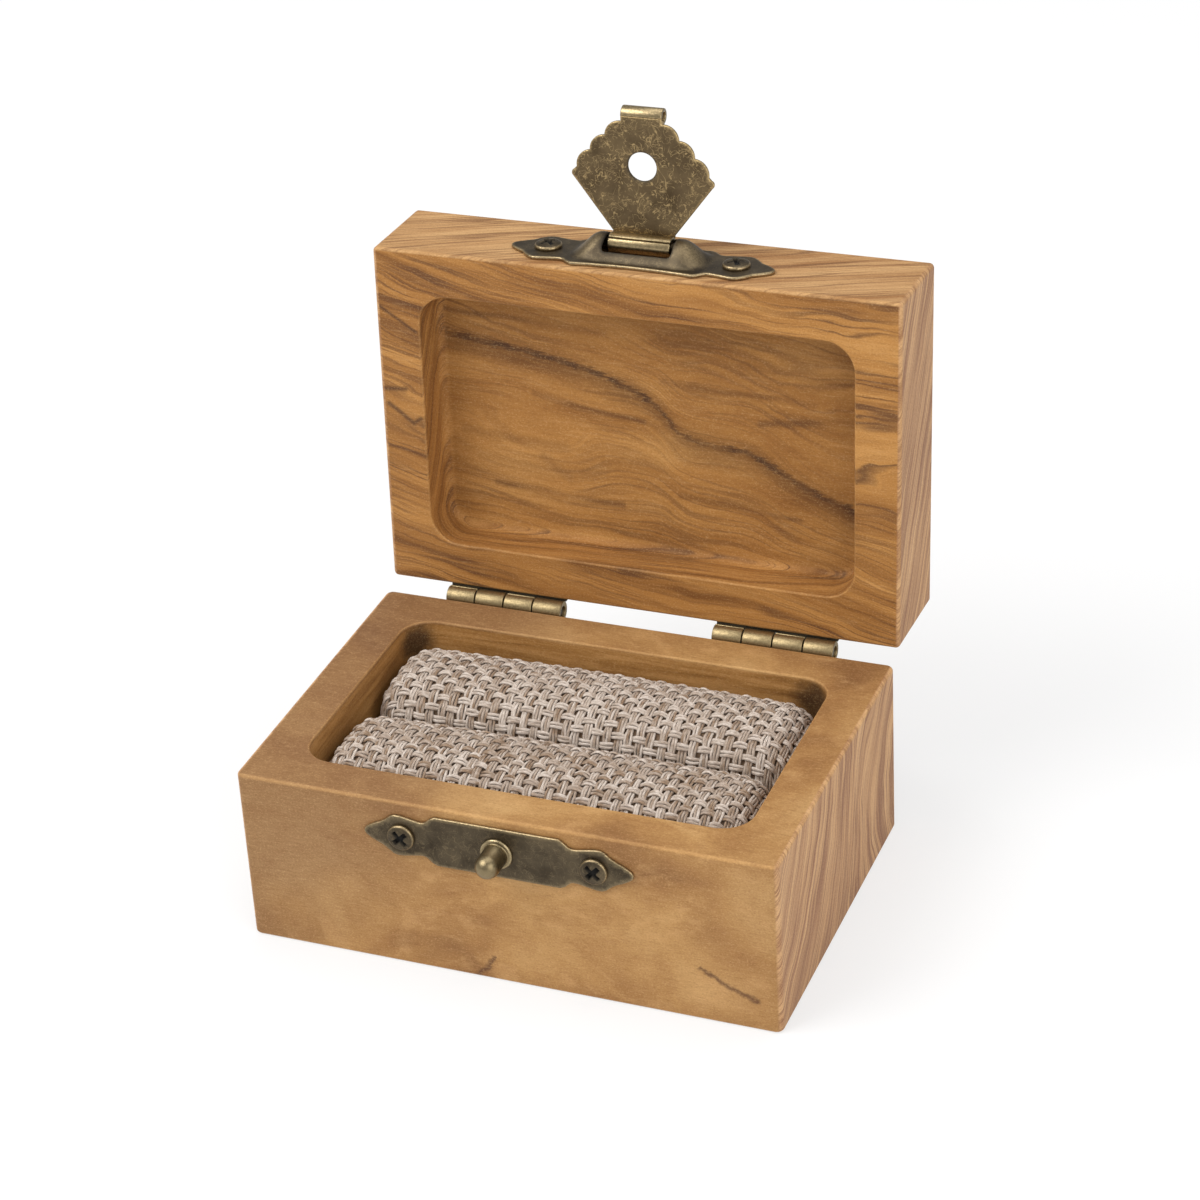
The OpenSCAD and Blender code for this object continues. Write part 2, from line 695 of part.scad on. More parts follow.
// Woven cover: a skin over the top, sides and ends whose lower edge is tucked under
module roll_cover() {
    rings = ring_points();
    count = len(rings);
    per_ring = len(rings[0]);
    outer = flatten(rings);
    inner_start = count * per_ring;
    tuck = [for (i = [0 : per_ring - 1])
        let (j = (i + 1) % per_ring)
        each [[i, j, inner_start + j], [i, inner_start + j, inner_start + i]]];
    polyhedron(
        points = concat(outer, shrink(outer, cover_thickness)),
        faces = concat(wall_faces(count, per_ring), cap_faces(per_ring, (count - 1) * per_ring),
                       wall_faces(count, per_ring, inner_start, true),
                       cap_faces(per_ring, inner_start + (count - 1) * per_ring, true), tuck));
}

// Padding inside the cover
module roll_core() {
    rings = ring_points();
    count = len(rings);
    per_ring = len(rings[0]);
    polyhedron(
        points = shrink(flatten(rings), cover_thickness + core_fit),
        faces = concat(wall_faces(count, per_ring), cap_faces(per_ring, (count - 1) * per_ring),
                       cap_faces(per_ring, 0, true)));
}

module at_roll(side) { translate([0, side * roll_place, base_floor]) children(); }

module front_roll_cover() { color(linen) at_roll(-1) roll_cover(); }
module front_roll_core() { color(foam) at_roll(-1) roll_core(); }
module rear_roll_cover() { color(linen) at_roll(1) roll_cover(); }
module rear_roll_core() { color(foam) at_roll(1) roll_core(); }

base_box();
lid();
left_hinge_base_leaf();
left_hinge_lid_leaf();
left_hinge_pin();
right_hinge_base_leaf();
right_hinge_lid_leaf();
right_hinge_pin();
base_hinge_screws();
lid_hinge_screws();
hasp_plate();
hasp_screws();
tongue_pin();
hasp_tongue();
catch_plate();
catch_knob();
catch_screws();
front_roll_cover();
front_roll_core();
rear_roll_cover();
rear_roll_core();
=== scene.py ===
"""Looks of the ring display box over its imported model. Lengths are in millimetres; MM turns them into metres."""
import math

import bpy
import numpy as np
from mathutils import Matrix, Vector
from mathutils.geometry import delaunay_2d_cdt


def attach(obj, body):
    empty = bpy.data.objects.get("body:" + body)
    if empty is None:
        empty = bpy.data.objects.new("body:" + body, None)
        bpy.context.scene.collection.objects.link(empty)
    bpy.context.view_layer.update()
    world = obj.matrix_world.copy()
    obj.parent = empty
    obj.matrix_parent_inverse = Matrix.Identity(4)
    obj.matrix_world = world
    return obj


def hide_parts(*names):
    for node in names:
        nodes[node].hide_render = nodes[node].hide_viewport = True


MM = 0.001
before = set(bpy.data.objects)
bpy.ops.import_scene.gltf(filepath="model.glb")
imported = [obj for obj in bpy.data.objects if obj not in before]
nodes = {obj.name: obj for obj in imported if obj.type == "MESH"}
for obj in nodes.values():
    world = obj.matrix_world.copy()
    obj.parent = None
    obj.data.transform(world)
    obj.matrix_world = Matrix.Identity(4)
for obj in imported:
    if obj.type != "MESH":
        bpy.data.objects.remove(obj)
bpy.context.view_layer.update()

# ---- sizes that the looks share with the model
W, D, BASE_H, LID_H = 70.0, 47.0, 24.0, 14.0
POCKET_X, POCKET_Y, POCKET_R = 29.0, 17.5, 4.0  # half sizes and corner radius of both pockets' mouths
RECESS = 6.0  # depth of the lid's pocket
RIM_GAP, OPEN = 0.1, math.radians(93)
AXIS_Y, AXIS_Z = 25.0, 23.65  # the lid's hinge
CLASP_X, KNOB_Z = -0.2, 19.4
SHEET = 0.5  # thickness of the clasp's sheet
PIN_RISE, PIN_OUT = 5.2, 2.0  # the tongue's pin over the lid's rim and out of its face
PLATE_SCREW_X, PLATE_SCREW_D, PLATE_SCREW_HOLE = 12.5, 3.5, 0.95
LEAF_SCREW_X, LEAF_SCREW_Y, LEAF_SCREW_D, LEAF_SCREW_HOLE = 4.7, 4.2, 2.6, 0.8
QUARTER = math.pi / 2


def move(x, y, z):
    return Matrix.Translation((x, y, z))


def turn(angle, axis):
    return Matrix.Rotation(angle, 4, axis)


# the shut lid, with its rim at z = 0, to its open pose, and the two faces that carry hardware
LID = move(0, AXIS_Y, AXIS_Z) @ turn(-OPEN, "X") @ move(0, -AXIS_Y, BASE_H + RIM_GAP - AXIS_Z)
FRONT = move(CLASP_X, -D / 2, 0) @ turn(QUARTER, "X")
BACK = move(0, D / 2, 0) @ turn(math.pi, "Z") @ turn(QUARTER, "X")


# ---- camera, floor and light
def make_camera():
    """Camera fitted to the box's outlines in the photograph, whose optical axis is off its middle."""
    azimuth, height, roll, distance = 0.4507, 0.5273, -0.0880, 0.42939
    picture, focal, middle = 1200, 3438.4, (429.55, 620.82)  # pixels
    target = Vector((-0.017984, 0, 0.0352695))
    back = Vector((math.sin(azimuth) * math.cos(height), -math.cos(azimuth) * math.cos(height), math.sin(height)))
    level = (-back).cross(Vector((0, 0, 1))).normalized()
    upright = level.cross(-back)
    right = math.cos(roll) * level + math.sin(roll) * upright
    up = -math.sin(roll) * level + math.cos(roll) * upright
    at = target + back * distance
    cam = bpy.data.cameras.new("camera")
    cam.sensor_width = 36
    cam.lens = focal / picture * cam.sensor_width
    cam.shift_x, cam.shift_y = (picture / 2 - middle[0]) / picture, (middle[1] - picture / 2) / picture
    cam.clip_start, cam.clip_end = 0.01, 20
    ob = bpy.data.objects.new("camera", cam)
    bpy.context.scene.collection.objects.link(ob)
    ob.matrix_world = Matrix([(*row, at[i]) for i, row in enumerate(zip(right, up, back))] + [(0, 0, 0, 1)])
    bpy.context.scene.camera = ob


def area_light(name, at, aim, size, watts):
    light = bpy.data.lights.new(name, "AREA")
    light.shape, light.energy = "RECTANGLE", watts
    light.size = light.size_y = size
    ob = bpy.data.objects.new(name, light)
    ob.location = at
    ob.rotation_mode = "QUATERNION"
    ob.rotation_quaternion = (Vector(aim) - Vector(at)).to_track_quat("-Z", "Y")
    bpy.context.scene.collection.objects.link(ob)


def build_lights():
    world = bpy.data.worlds.new("studio")
    bpy.context.scene.world = world
    world.use_nodes = True
    background = world.node_tree.nodes["Background"]
    background.inputs["Color"].default_value = (1, 1, 1, 1)
    background.inputs["Strength"].default_value = 0.42
    area_light("key", (-0.55, -0.45, 0.85), (0, 0, 0.03), 0.7, 8.7)
    area_light("fill", (0.75, -0.55, 0.45), (0, 0, 0.03), 0.8, 4.7)
    area_light("top", (0.1, 0.25, 1.1), (0, 0.02, 0.03), 0.9, 4.7)


def build_stage():
    half, drop, lift = 3.0, 0.00002, 0.62
    mesh = bpy.data.meshes.new("floor")
    mesh.from_pydata([(-half, -half, 0), (half, -half, 0), (half, half, 0), (-half, half, 0)], [], [(0, 1, 2, 3)])
    floor = bpy.data.objects.new("floor", mesh)
    floor.location.z = -drop
    bpy.context.scene.collection.objects.link(floor)
    g = Graph("floor")
    g.finish(Base_Color=(0.86, 0.86, 0.86), Roughness=0.9, Specular_IOR_Level=0.0)
    # what the camera and reflections see is lifted towards white, so the shadow stays but is faint
    path, white, both = g.new("LightPath"), g.new("Emission"), g.new("MixShader")
    g.feed(white, (1, 1, 1), 1.0)
    seen = g.most(*[path.outputs[f"Is {ray} Ray"] for ray in ("Camera", "Glossy", "Transmission")])
    g.feed(both, g.mul(seen, lift), g.shader.outputs[0], white.outputs[0])
    g.feed(g.out, both.outputs[0])
    mesh.materials.append(g.mat)


# ---- node graphs
def srgb(r, g, b):
    """A colour as it looks, 0 to 255, to the linear one that nodes use."""
    return tuple((c / 255 / 12.92) if c <= 10 else ((c / 255 + 0.055) / 1.055) ** 2.4 for c in (r, g, b))


class Graph:
    """A short way to write a material's nodes: each call adds a node and returns its output."""

    def __init__(self, name):
        self.mat = bpy.data.materials.new(name)
        self.mat.use_nodes = True
        self.tree = self.mat.node_tree
        self.tree.nodes.clear()
        self.out, self.shader = self.new("OutputMaterial"), self.new("BsdfPrincipled")
        self.put(self.out.inputs[0], self.shader.outputs[0])

    def new(self, kind, **settings):
        node = self.tree.nodes.new("ShaderNode" + kind)
        for name, value in settings.items():
            setattr(node, name, value)
        return node

    def put(self, socket, value):
        """Links an output to the socket, or sets a number, vector or colour on it."""
        if hasattr(value, "is_output"):
            self.tree.links.new(value, socket)
        elif value is not None:
            socket.default_value = (*value, 1) if socket.type == "RGBA" and len(value) == 3 else value

    def feed(self, node, *values, **named):
        """Gives a node its inputs, in order or by name with _ for a space, and returns its outputs."""
        for socket, value in zip(node.inputs, values):
            self.put(socket, value)
        for name, value in named.items():
            self.put(node.inputs[name.replace("_", " ")], value)
        return node.outputs

    def place(self):
        """Where a point is, in millimetres."""
        return self.scaled(self.new("TexCoord").outputs["Object"], 1 / MM)

    def attribute(self, name):
        return self.new("Attribute", attribute_name=name).outputs["Fac"]

    def mapping(self, vec, **how):
        return self.feed(self.new("Mapping"), vec, **how)[0]

    def split(self, vec):
        return self.feed(self.new("SeparateXYZ"), vec)

    def join(self, x, y, z):
        return self.feed(self.new("CombineXYZ"), x, y, z)[0]

    def noise(self, vec, scale, detail=2, rough=0.5, distortion=0.0, kind="Fac"):
        return self.feed(self.new("TexNoise"), Vector=vec, Scale=scale, Detail=detail, Roughness=rough,
                         Distortion=distortion)[kind]

    def math(self, op, *values, clamp=False):
        return self.feed(self.new("Math", operation=op, use_clamp=clamp), *values)[0]

    def chain(self, op, values, clamp=False):
        out = values[0]
        for value in values[1:]:
            out = self.math(op, out, value, clamp=clamp)
        return out

    def add(self, *values, clamp=False):
        return self.chain("ADD", values, clamp)

    def mul(self, *values, clamp=False):
        return self.chain("MULTIPLY", values, clamp)

    def most(self, *values):
        return self.chain("MAXIMUM", values)

    def sub(self, a, b):
        return self.math("SUBTRACT", a, b)

    def fit(self, value, factor, start):
        return self.math("MULTIPLY_ADD", value, factor, start)

    def size(self, value):
        return self.math("ABSOLUTE", value)

    def vmath(self, op, *values, **named):
        return self.feed(self.new("VectorMath", operation=op), *values, **named)["Value" if op == "LENGTH" else 0]

    def scaled(self, vec, factor):
        return self.vmath("SCALE", vec, Scale=factor)

    def shifted(self, vec, by):
        return self.vmath("ADD", vec, by)

    def stretched(self, vec, factors):
        return self.vmath("MULTIPLY", vec, factors)

    def ramp(self, fac, *stops):
        """Colour by position; each stop is a position and a linear colour."""
        n = self.new("ValToRGB")
        for i, (at, colour) in enumerate(stops):
            e = n.color_ramp.elements[i] if i < 2 else n.color_ramp.elements.new(at)
            e.position, e.color = at, (*colour, 1)
        return self.feed(n, fac)[0]

    def tones(self, fac, *stops):
        """A ramp whose colours are given as they look."""
        return self.ramp(fac, *[(at, srgb(*colour)) for at, colour in stops])

    def step(self, value, low, high):
        """0 up to low, 1 from high on, and smooth between them; high may be the smaller one."""
        return self.feed(self.new("MapRange", interpolation_type="SMOOTHSTEP"), value, low, high)[0]

    def within(self, value, width):
        """1 where the value is 0, down to 0 where it is as far off as the width."""
        return self.sub(1.0, self.step(self.size(value), 0.0, width))

    def curve(self, value, low, high, points):
        """A smooth function of the value through (value, result) points, all between low and high."""
        n = self.new("FloatCurve")
        span = high - low
        spots = [((v - low) / span, (r - low) / span) for v, r in points]
        line = n.mapping.curves[0]
        line.points[0].location, line.points[1].location = spots[0], spots[-1]
        for spot in spots[1:-1]:
            line.points.new(*spot)
        n.mapping.update()
        return self.fit(self.feed(n, Value=self.fit(value, 1 / span, -low / span))[0], span, low)

    def stroke(self, u, v, u0, v0, u1, v1, width):
        """1 along the line from (u0, v0) to (u1, v1)."""
        du, dv = u1 - u0, v1 - v0
        long2 = du * du + dv * dv
        from_u, from_v = self.sub(u, u0), self.sub(v, v0)
        along = self.add(self.mul(from_u, du / long2), self.mul(from_v, dv / long2), clamp=True)
        off_u, off_v = self.sub(from_u, self.mul(along, du)), self.sub(from_v, self.mul(along, dv))
        return self.within(self.math("SQRT", self.add(self.mul(off_u, off_u), self.mul(off_v, off_v))), width)

    def strokes(self, u, v, *lines):
        """1 along any of the lines; each is its two ends and its width."""
        return self.most(*[self.stroke(u, v, *line) for line in lines])

    def mix(self, fac, a, b):
        return self.feed(self.new("Mix", data_type="RGBA"), fac, *[None] * 5, a, b)[2]

    def over(self, base, colour, *masks, clamp=False):
        """Lays a colour, given as it looks, over the base where all the masks are high."""
        return self.mix(self.mul(*masks, clamp=clamp), base, srgb(*colour))

    def washes(self, base, *rows):
        """Lays colours over the base; each row is a field, where it starts, where it is full, share and colour."""
        for field, low, high, share, colour in rows:
            base = self.over(base, colour, self.step(field, low, high), share)
        return base

    def bump(self, height, strength, distance):
        return self.feed(self.new("Bump"), Strength=strength, Distance=distance, Height=height)[0]

    def finish(self, **values):
        self.feed(self.shader, **values)
        return self.mat


# ---- wood
def wander(g, p, stretch, scale, reach, detail=2):
    """Noise in all three directions, as far as half the reach either way."""
    raw = g.noise(g.stretched(p, stretch), scale, detail, kind="Color")
    return g.scaled(g.vmath("SUBTRACT", raw, (0.5, 0.5, 0.5)), reach)


def layers(g, along, field, slow, quick, seed, detail=3, rough=0.6):
    """Noise that changes slowly along the grain and quickly across it."""
    return g.noise(g.join(g.mul(along, slow), g.mul(field, quick), seed), 1.0, detail, rough)


def streaks(g, field, along, scale, width, seed):
    """Thin growth lines that wander, where a layered noise crosses its middle."""
    return g.within(g.sub(layers(g, along, field, 0.022, scale, seed, 2, 0.5), 0.5), width)


def end_faces(g, x):
    return g.step(g.size(x), W / 2 - 0.6, W / 2 - 0.25)


def eased_edges(g, x, y, z, top, foot):
    """1 along the block's outer edges, where a painted highlight lies on their rounding."""
    far, near = 0.5, 0.15
    a = g.step(g.size(x), W / 2 - far, W / 2 - near)
    b = g.step(g.size(y), D / 2 - far, D / 2 - near)
    c = g.most(g.step(z, top - far, top - near), g.step(g.mul(z, -1.0), -foot - far, -foot - near))
    return g.most(g.mul(a, b), g.mul(b, c), g.mul(a, c))


def mouth_edge(g, x, y, depth):
    """1 along the mouth of a pocket, where the depth from the rim is near 0."""
    qx = g.most(g.sub(g.size(x), POCKET_X - POCKET_R), 0.0)
    qy = g.most(g.sub(g.size(y), POCKET_Y - POCKET_R), 0.0)
    reach = g.math("SQRT", g.add(g.mul(qx, qx), g.mul(qy, qy)))
    return g.mul(g.within(g.sub(reach, POCKET_R + 0.08), 0.24), g.within(depth, 0.36))


def end_grain(g, field, along):
    """Colour of the two ends: pinkish, with brown-purple rings."""
    tone = g.tones(layers(g, along, field, 0.03, 0.55, 4.0), (0.32, (148, 106, 76)), (0.44, (176, 134, 96)),
                   (0.54, (194, 152, 109)), (0.68, (206, 165, 121)))
    tone = g.over(tone, (124, 84, 62), streaks(g, field, along, 1.15, 0.060, 8.0), 0.75)
    return g.over(tone, (132, 92, 68), streaks(g, field, along, 2.8, 0.05, 15.0), 0.42)


def base_figure(g, p, x, y, z, wob):
    """The base's front, top and back: blotchy, browner towards the left end and its upper corner."""
    q = g.shifted(p, wander(g, p, (1, 1, 1), 0.05, 14.0))
    blotch = g.noise(g.stretched(q, (0.7, 1.0, 1.2)), 0.07, 3, 0.55)
    tone = g.tones(blotch, (0.30, (128, 90, 54)), (0.42, (153, 112, 67)), (0.54, (170, 129, 79)),
                   (0.68, (186, 147, 96)))
    shimmer = g.noise(g.mapping(q, Rotation=(0.0, 0.7, 0.5), Scale=(0.20, 0.32, 0.32)), 1.0, 4, 0.6)
    bands = g.noise(g.stretched(q, (0.06, 0.5, 0.5)), 1.0, 3, 0.6)
    lean = g.add(g.mul(x, -1.0), g.mul(g.noise(p, 0.09, 2), 26.0))
    lean = g.add(lean, g.fit(z, 0.9, -14.0))
    tone = g.washes(tone, (shimmer, 0.50, 0.68, 0.34, (198, 156, 104)), (shimmer, 0.46, 0.32, 0.30, (146, 103, 62)),
                    (bands, 0.52, 0.66, 0.16, (146, 102, 58)), (lean, 12.0, 42.0, 0.66, (120, 86, 58)),
                    (x, 22.0, 33.0, 0.24, (126, 84, 48)))
    # two short dark checks low on the front
    wx, _, wz = g.split(wob)
    front = g.step(g.mul(y, -1.0), D / 2 - 0.6, D / 2 - 0.3)
    marks = g.strokes(wx, wz, (-1.9, 3.4, -2.6, 1.9, 0.45), (-2.6, 1.9, -4.2, 0.2, 0.65),
                      (24.9, 7.6, 28.2, 5.7, 0.50), (28.2, 5.7, 32.0, 4.1, 0.60))
    return g.over(tone, (84, 54, 38), marks, front, 0.80)


def make_wood_base():
    g = Graph("wood_base")
    p = g.place()
    x, y, z = g.split(p)
    wob = g.shifted(p, wander(g, p, (1, 1, 1), 0.9, 1.5, 3))
    tone = base_figure(g, p, x, y, z, wob)
    # inside the pocket: streaky walls, with painted shade in the two rear corners
    far, near = 0.7, 0.2
    deep = g.mul(g.step(g.size(y), POCKET_Y + far, POCKET_Y + near),
                 g.step(g.size(x), POCKET_X + far, POCKET_X + near), g.step(z, BASE_H - 0.1, BASE_H - 0.6))
    wall = g.noise(g.stretched(p, (0.05, 0.05, 0.75)), 1.0, 4, 0.65, 0.4)
    wall = g.tones(wall, (0.30, (122, 82, 40)), (0.46, (158, 113, 61)), (0.62, (178, 132, 78)))
    # painted shade: dark spots in the pocket's two rear corners, beside the rolls' ends
    for at, size in (((26.6, 16.6, 20.6), 4.4), ((-27.8, 15.8, 21.4), 3.4)):
        away = g.vmath("LENGTH", g.vmath("SUBTRACT", wob, at))
        wall = g.over(wall, (44, 28, 18), g.step(away, size, size * 0.35), 0.85)
    tone = g.mix(deep, tone, wall)
    # the two ends: rings that lean to the front and close round the rear
    _, qy, qz = g.split(g.shifted(p, wander(g, p, (1, 1, 1), 0.10, 3.2)))
    v = g.sub(qz, 7.0)
    lean = g.most(g.fit(qy, -0.034, 0.36), 0.0)
    bow = g.mul(g.step(qy, 3.0, 16.0), 0.030)
    field = g.sub(g.sub(qy, g.mul(lean, v)), g.mul(bow, g.mul(v, v)))
    colour = g.mix(end_faces(g, x), tone, end_grain(g, g.mul(field, 0.62), qz))
    # a painted highlight along the eased outer edges and the pocket's mouth
    pale = g.most(eased_edges(g, x, y, z, BASE_H, 0.0), mouth_edge(g, x, y, g.sub(z, BASE_H)))
    return wood_surface(g, p, g.over(colour, (218, 170, 108), pale, 0.24), 3.0, 0.55)


def wood_surface(g, p, colour, seed, long):
    """Fine fibres, pores and a soft satin finish, shared by both blocks."""
    fibres = g.noise(g.shifted(g.stretched(p, (long, 3.4, 3.4)), (seed, seed, seed)), 1.0, 4, 0.65)
    hairs = g.noise(g.shifted(g.stretched(p, (0.9, 7.0, 7.0)), (seed, 1.0, seed)), 1.0, 2, 0.6)
    specks = g.noise(p, 3.2, 2, 0.7)
    pores = g.noise(g.stretched(p, (1.0, 1.5, 1.5)), 3.6, 2, 0.8)
    colour = g.washes(colour, (fibres, 0.52, 0.78, 0.34, (110, 72, 40)),
                      (fibres, 0.50, 0.24, 0.14, (222, 182, 130)), (pores, 0.52, 0.68, 0.26, (104, 68, 38)),
                      (pores, 0.46, 0.32, 0.20, (224, 184, 130)), (hairs, 0.55, 0.75, 0.22, (112, 76, 44)),
                      (specks, 0.60, 0.85, 0.20, (230, 196, 148)))
    height = g.add(g.mul(fibres, 0.6), g.mul(hairs, 0.4))
    return g.finish(Base_Color=colour, Roughness=g.fit(fibres, 0.22, 0.50), Specular_IOR_Level=0.20,
                    Normal=g.bump(height, 0.22, 0.00008))


def lid_face(g, x, z, slow):
    """The face that carries the clasp is paler, its lines rising to the right."""
    rising = g.add(g.fit(x, -0.42, z), g.mul(g.split(slow)[0], 0.55))
    face = g.tones(layers(g, x, rising, 0.03, 0.30, 6.0), (0.34, (146, 102, 60)), (0.48, (176, 134, 88)),
                   (0.66, (196, 155, 106)))
    face = g.over(face, (104, 68, 42), streaks(g, rising, x, 0.50, 0.040, 12.0), 0.66)
    return g.over(face, (118, 80, 50), streaks(g, rising, x, 1.10, 0.035, 19.0), 0.45)


def make_wood_lid():
    g = Graph("wood_lid")
    # the shut lid's coordinates: x across, y to the back, z up from the rim
    p = g.mapping(g.vmath("SUBTRACT", g.place(), (0, AXIS_Y, AXIS_Z)), Rotation=(OPEN, 0, 0),
                  Location=(0, AXIS_Y, AXIS_Z - BASE_H - RIM_GAP))
    x, y, z = g.split(p)
    slow = wander(g, p, (0.45, 1, 1), 0.045, 6.0)
    quick = wander(g, p, (0.4, 1, 1), 0.28, 0.9, 3)
    q = g.shifted(p, g.shifted(slow, quick))
    _, qy, qz = g.split(q)
    up = g.mul(qy, -1.0)  # towards the clasp
    plain_up = g.mul(g.split(g.shifted(p, g.scaled(quick, 0.7)))[1], -1.0)
    # one dark vein crosses the recess, and the growth lines near it follow it
    vein = g.curve(x, -W / 2, W / 2, ((-35, 11.6), (-28.6, 10.3), (-15.7, 8.5), (-5, 6.0), (0.7, 3.2), (4.3, -0.4),
                                      (8.5, -1.5), (13.6, -2.1), (18.2, -4.4), (24.3, -7.2), (35, -10.5)))
    off = g.sub(plain_up, vein)
    near = g.sub(1.0, g.step(g.size(off), 1.0, 19.0))
    follow = g.mul(near, g.add(vein, g.fit(x, 0.12, -3.7)))
    swirl_x, swirl_up, wide, high = -16.5, -7.0, 7.5, 5.0  # an oval swirl low on the left
    swirl = g.add(g.math("POWER", g.fit(x, 1 / wide, -swirl_x / wide), 2.0),
                  g.math("POWER", g.fit(plain_up, 1 / high, -swirl_up / high), 2.0))
    swirl = g.mul(g.step(swirl, 2.6, 0.0), 1.4)
    h = g.add(g.sub(g.fit(x, 0.12, up), follow), swirl)
    field = g.fit(h, -0.5, qz)
    tone = g.tones(layers(g, x, field, 0.022, 0.62, 3.1), (0.30, (112, 71, 34)), (0.41, (144, 97, 48)),
                   (0.52, (163, 113, 58)), (0.63, (178, 127, 68)), (0.76, (192, 142, 82)))
    fade = g.step(g.noise(g.stretched(p, (0.45, 1, 1)), 0.10, 2), 0.42, 0.60)
    fade2 = g.step(g.noise(g.shifted(g.stretched(p, (0.6, 1, 1)), (31, 7, 3)), 0.12, 2), 0.44, 0.62)
    # the recess floor is softer, with fewer lines than the rim
    floor = g.step(z, RECESS - 0.14, RECESS - 0.03)
    calm = g.fit(floor, -0.50, 1.0)
    soft = g.noise(g.shifted(g.stretched(q, (0.35, 1, 1)), (5, 5, 5)), 0.13, 3, 0.55)
    tone = g.mix(g.mul(floor, 0.50), tone,
                 g.tones(soft, (0.30, (136, 89, 42)), (0.50, (172, 122, 64)), (0.68, (190, 142, 82))))
    tone = g.over(tone, (84, 54, 36), streaks(g, field, x, 1.15, 0.055, 9.2), calm, g.fit(fade, 0.62, 0.18))
    tone = g.over(tone, (98, 62, 36), streaks(g, field, x, 2.5, 0.06, 27.0), calm, g.fit(fade2, 0.50, 0.10))
    fringe = g.noise(g.stretched(p, (0.55, 3.6, 3.6)), 1.0, 3, 0.7)
    frayed = g.add(off, g.fit(fringe, 2.2, -1.1))
    core = g.mul(g.within(frayed, 1.15), g.fit(g.noise(p, 0.30, 2), 1.1, 0.35), clamp=True)
    halo = g.mul(g.within(g.add(frayed, 0.7), 3.2), 0.46)
    tone = g.over(tone, (66, 42, 28), g.most(core, halo), g.fit(floor, 0.78, 0.14), clamp=True)
    # soft dark strokes about the recess floor
    sx, sy, _ = g.split(g.shifted(p, g.scaled(quick, 1.6)))
    figure = g.strokes(sx, g.mul(sy, -1.0), (-26, -3.4, -12, -4.3, 1.3), (-16, 2.9, -1, 0.6, 0.7),
                       (8, 13.4, 28.6, 12.0, 0.8), (12, 10.2, 28.6, 9.0, 0.7), (15, 2.6, 28.6, 4.2, 0.9),
                       (20, -5.4, 28, -9.6, 1.2), (-15, -6.0, -11.5, -8.5, 1.1),
                       (-22, -10.6, -4, -11.6, 0.7), (4, -9.0, 20, -10.4, 0.6),
                       (-28, 13.6, -6, 12.4, 0.8), (2, 6.6, 22, 6.0, 0.8))
    tone = g.over(tone, (88, 55, 32), figure, g.fit(fade2, 0.34, 0.26), g.mul(floor, g.step(z, 9.0, 8.0)))
    # dark flecks on the rim's left side
    flecks = g.strokes(x, plain_up, (-34.6, 3.9, -31.5, 4.1, 0.55), (-34.0, 1.8, -30.6, -0.6, 0.60),
                       (-30.6, -0.6, -29.6, 0.2, 0.5), (-34.8, 15.6, -29.6, 12.4, 0.42))
    tone = g.over(tone, (66, 42, 30), flecks, g.step(z, 3.0, 1.0), 0.75)
    tone = g.mix(g.step(g.mul(y, -1.0), D / 2 - 0.5, D / 2 - 0.2), tone, lid_face(g, x, z, slow))
    slant = g.add(g.fit(y, 0.55, z), g.split(wander(g, p, (1, 1, 1), 0.12, 2.0))[2])
    tone = g.mix(end_faces(g, x), tone, end_grain(g, slant, g.mul(y, -1.0)))
    # a painted highlight along the eased outer edges and the recess's mouth
    pale = g.most(eased_edges(g, x, y, z, LID_H, 0.0), mouth_edge(g, x, y, z))
    return wood_surface(g, p, g.over(tone, (212, 164, 104), pale, 0.24), 9.0, 0.30)


# ---- metal
def make_metal(name, dark, mid, bright, scratch, rough):
    """Antiqued brass: dark patina, rubbed bright on rims, with fine curly scratches; the rim attribute also carries
    painted highlights, and hollow darkens the metal almost to black.
    """
    g = Graph(name)
    dark, mid, bright = srgb(*dark), srgb(*mid), srgb(*bright)
    p = g.place()
    cloud = g.noise(p, 0.30, 3, 0.55, 0.3)
    grit = g.noise(p, 5.0, 3, 0.7)
    colour = g.ramp(g.add(g.mul(cloud, 0.78), g.mul(grit, 0.22)),
                    (0.30, dark), (0.50, mid), (0.80, tuple(0.80 * m + 0.20 * b for m, b in zip(mid, bright))))
    curls = []
    for seed, scale, width in ((0.0, 0.50, 0.014), (17.0, 0.72, 0.018), (41.0, 1.0, 0.022), (67.0, 1.35, 0.026)):
        s = g.shifted(p, (seed, seed, seed))
        line = g.within(g.sub(g.noise(s, scale, 1, 0.4, 0.9), 0.5), width)
        curls.append(g.mul(line, g.step(g.noise(s, 0.6, 2, 0.6), 0.46, 0.56)))
    hairs = g.most(*curls)
    colour = g.mix(g.mul(hairs, 0.75 * scratch), colour, bright)
    # rims rubbed bright, plus the painted highlight on the hasp dome's cheek slopes
    worn_and_highlit = g.mul(g.attribute("rim"), g.fit(g.step(g.noise(p, 3.6, 3, 0.8), 0.36, 0.60), 0.55, 0.42), clamp=True)
    # hollow darkens almost to black: the holes' edges, the screws' cross recesses, and the hinge leaves' painted
    # shade beside their knuckles
    hollow = g.attribute("hollow")
    colour = g.mix(hollow, g.mix(worn_and_highlit, colour, bright), (0.006, 0.005, 0.004))
    r = g.sub(g.add(g.mul(grit, 0.24), rough - 0.10), g.mul(worn_and_highlit, 0.10))
    r = g.add(r, g.mul(hollow, 0.5))
    height = g.add(g.mul(grit, 0.5), g.mul(hairs, -0.5 * scratch))
    return g.finish(Base_Color=colour, Metallic=g.sub(1.0, g.mul(hollow, 0.9)), Roughness=r,
                    Normal=g.bump(height, 0.25, 0.00004))


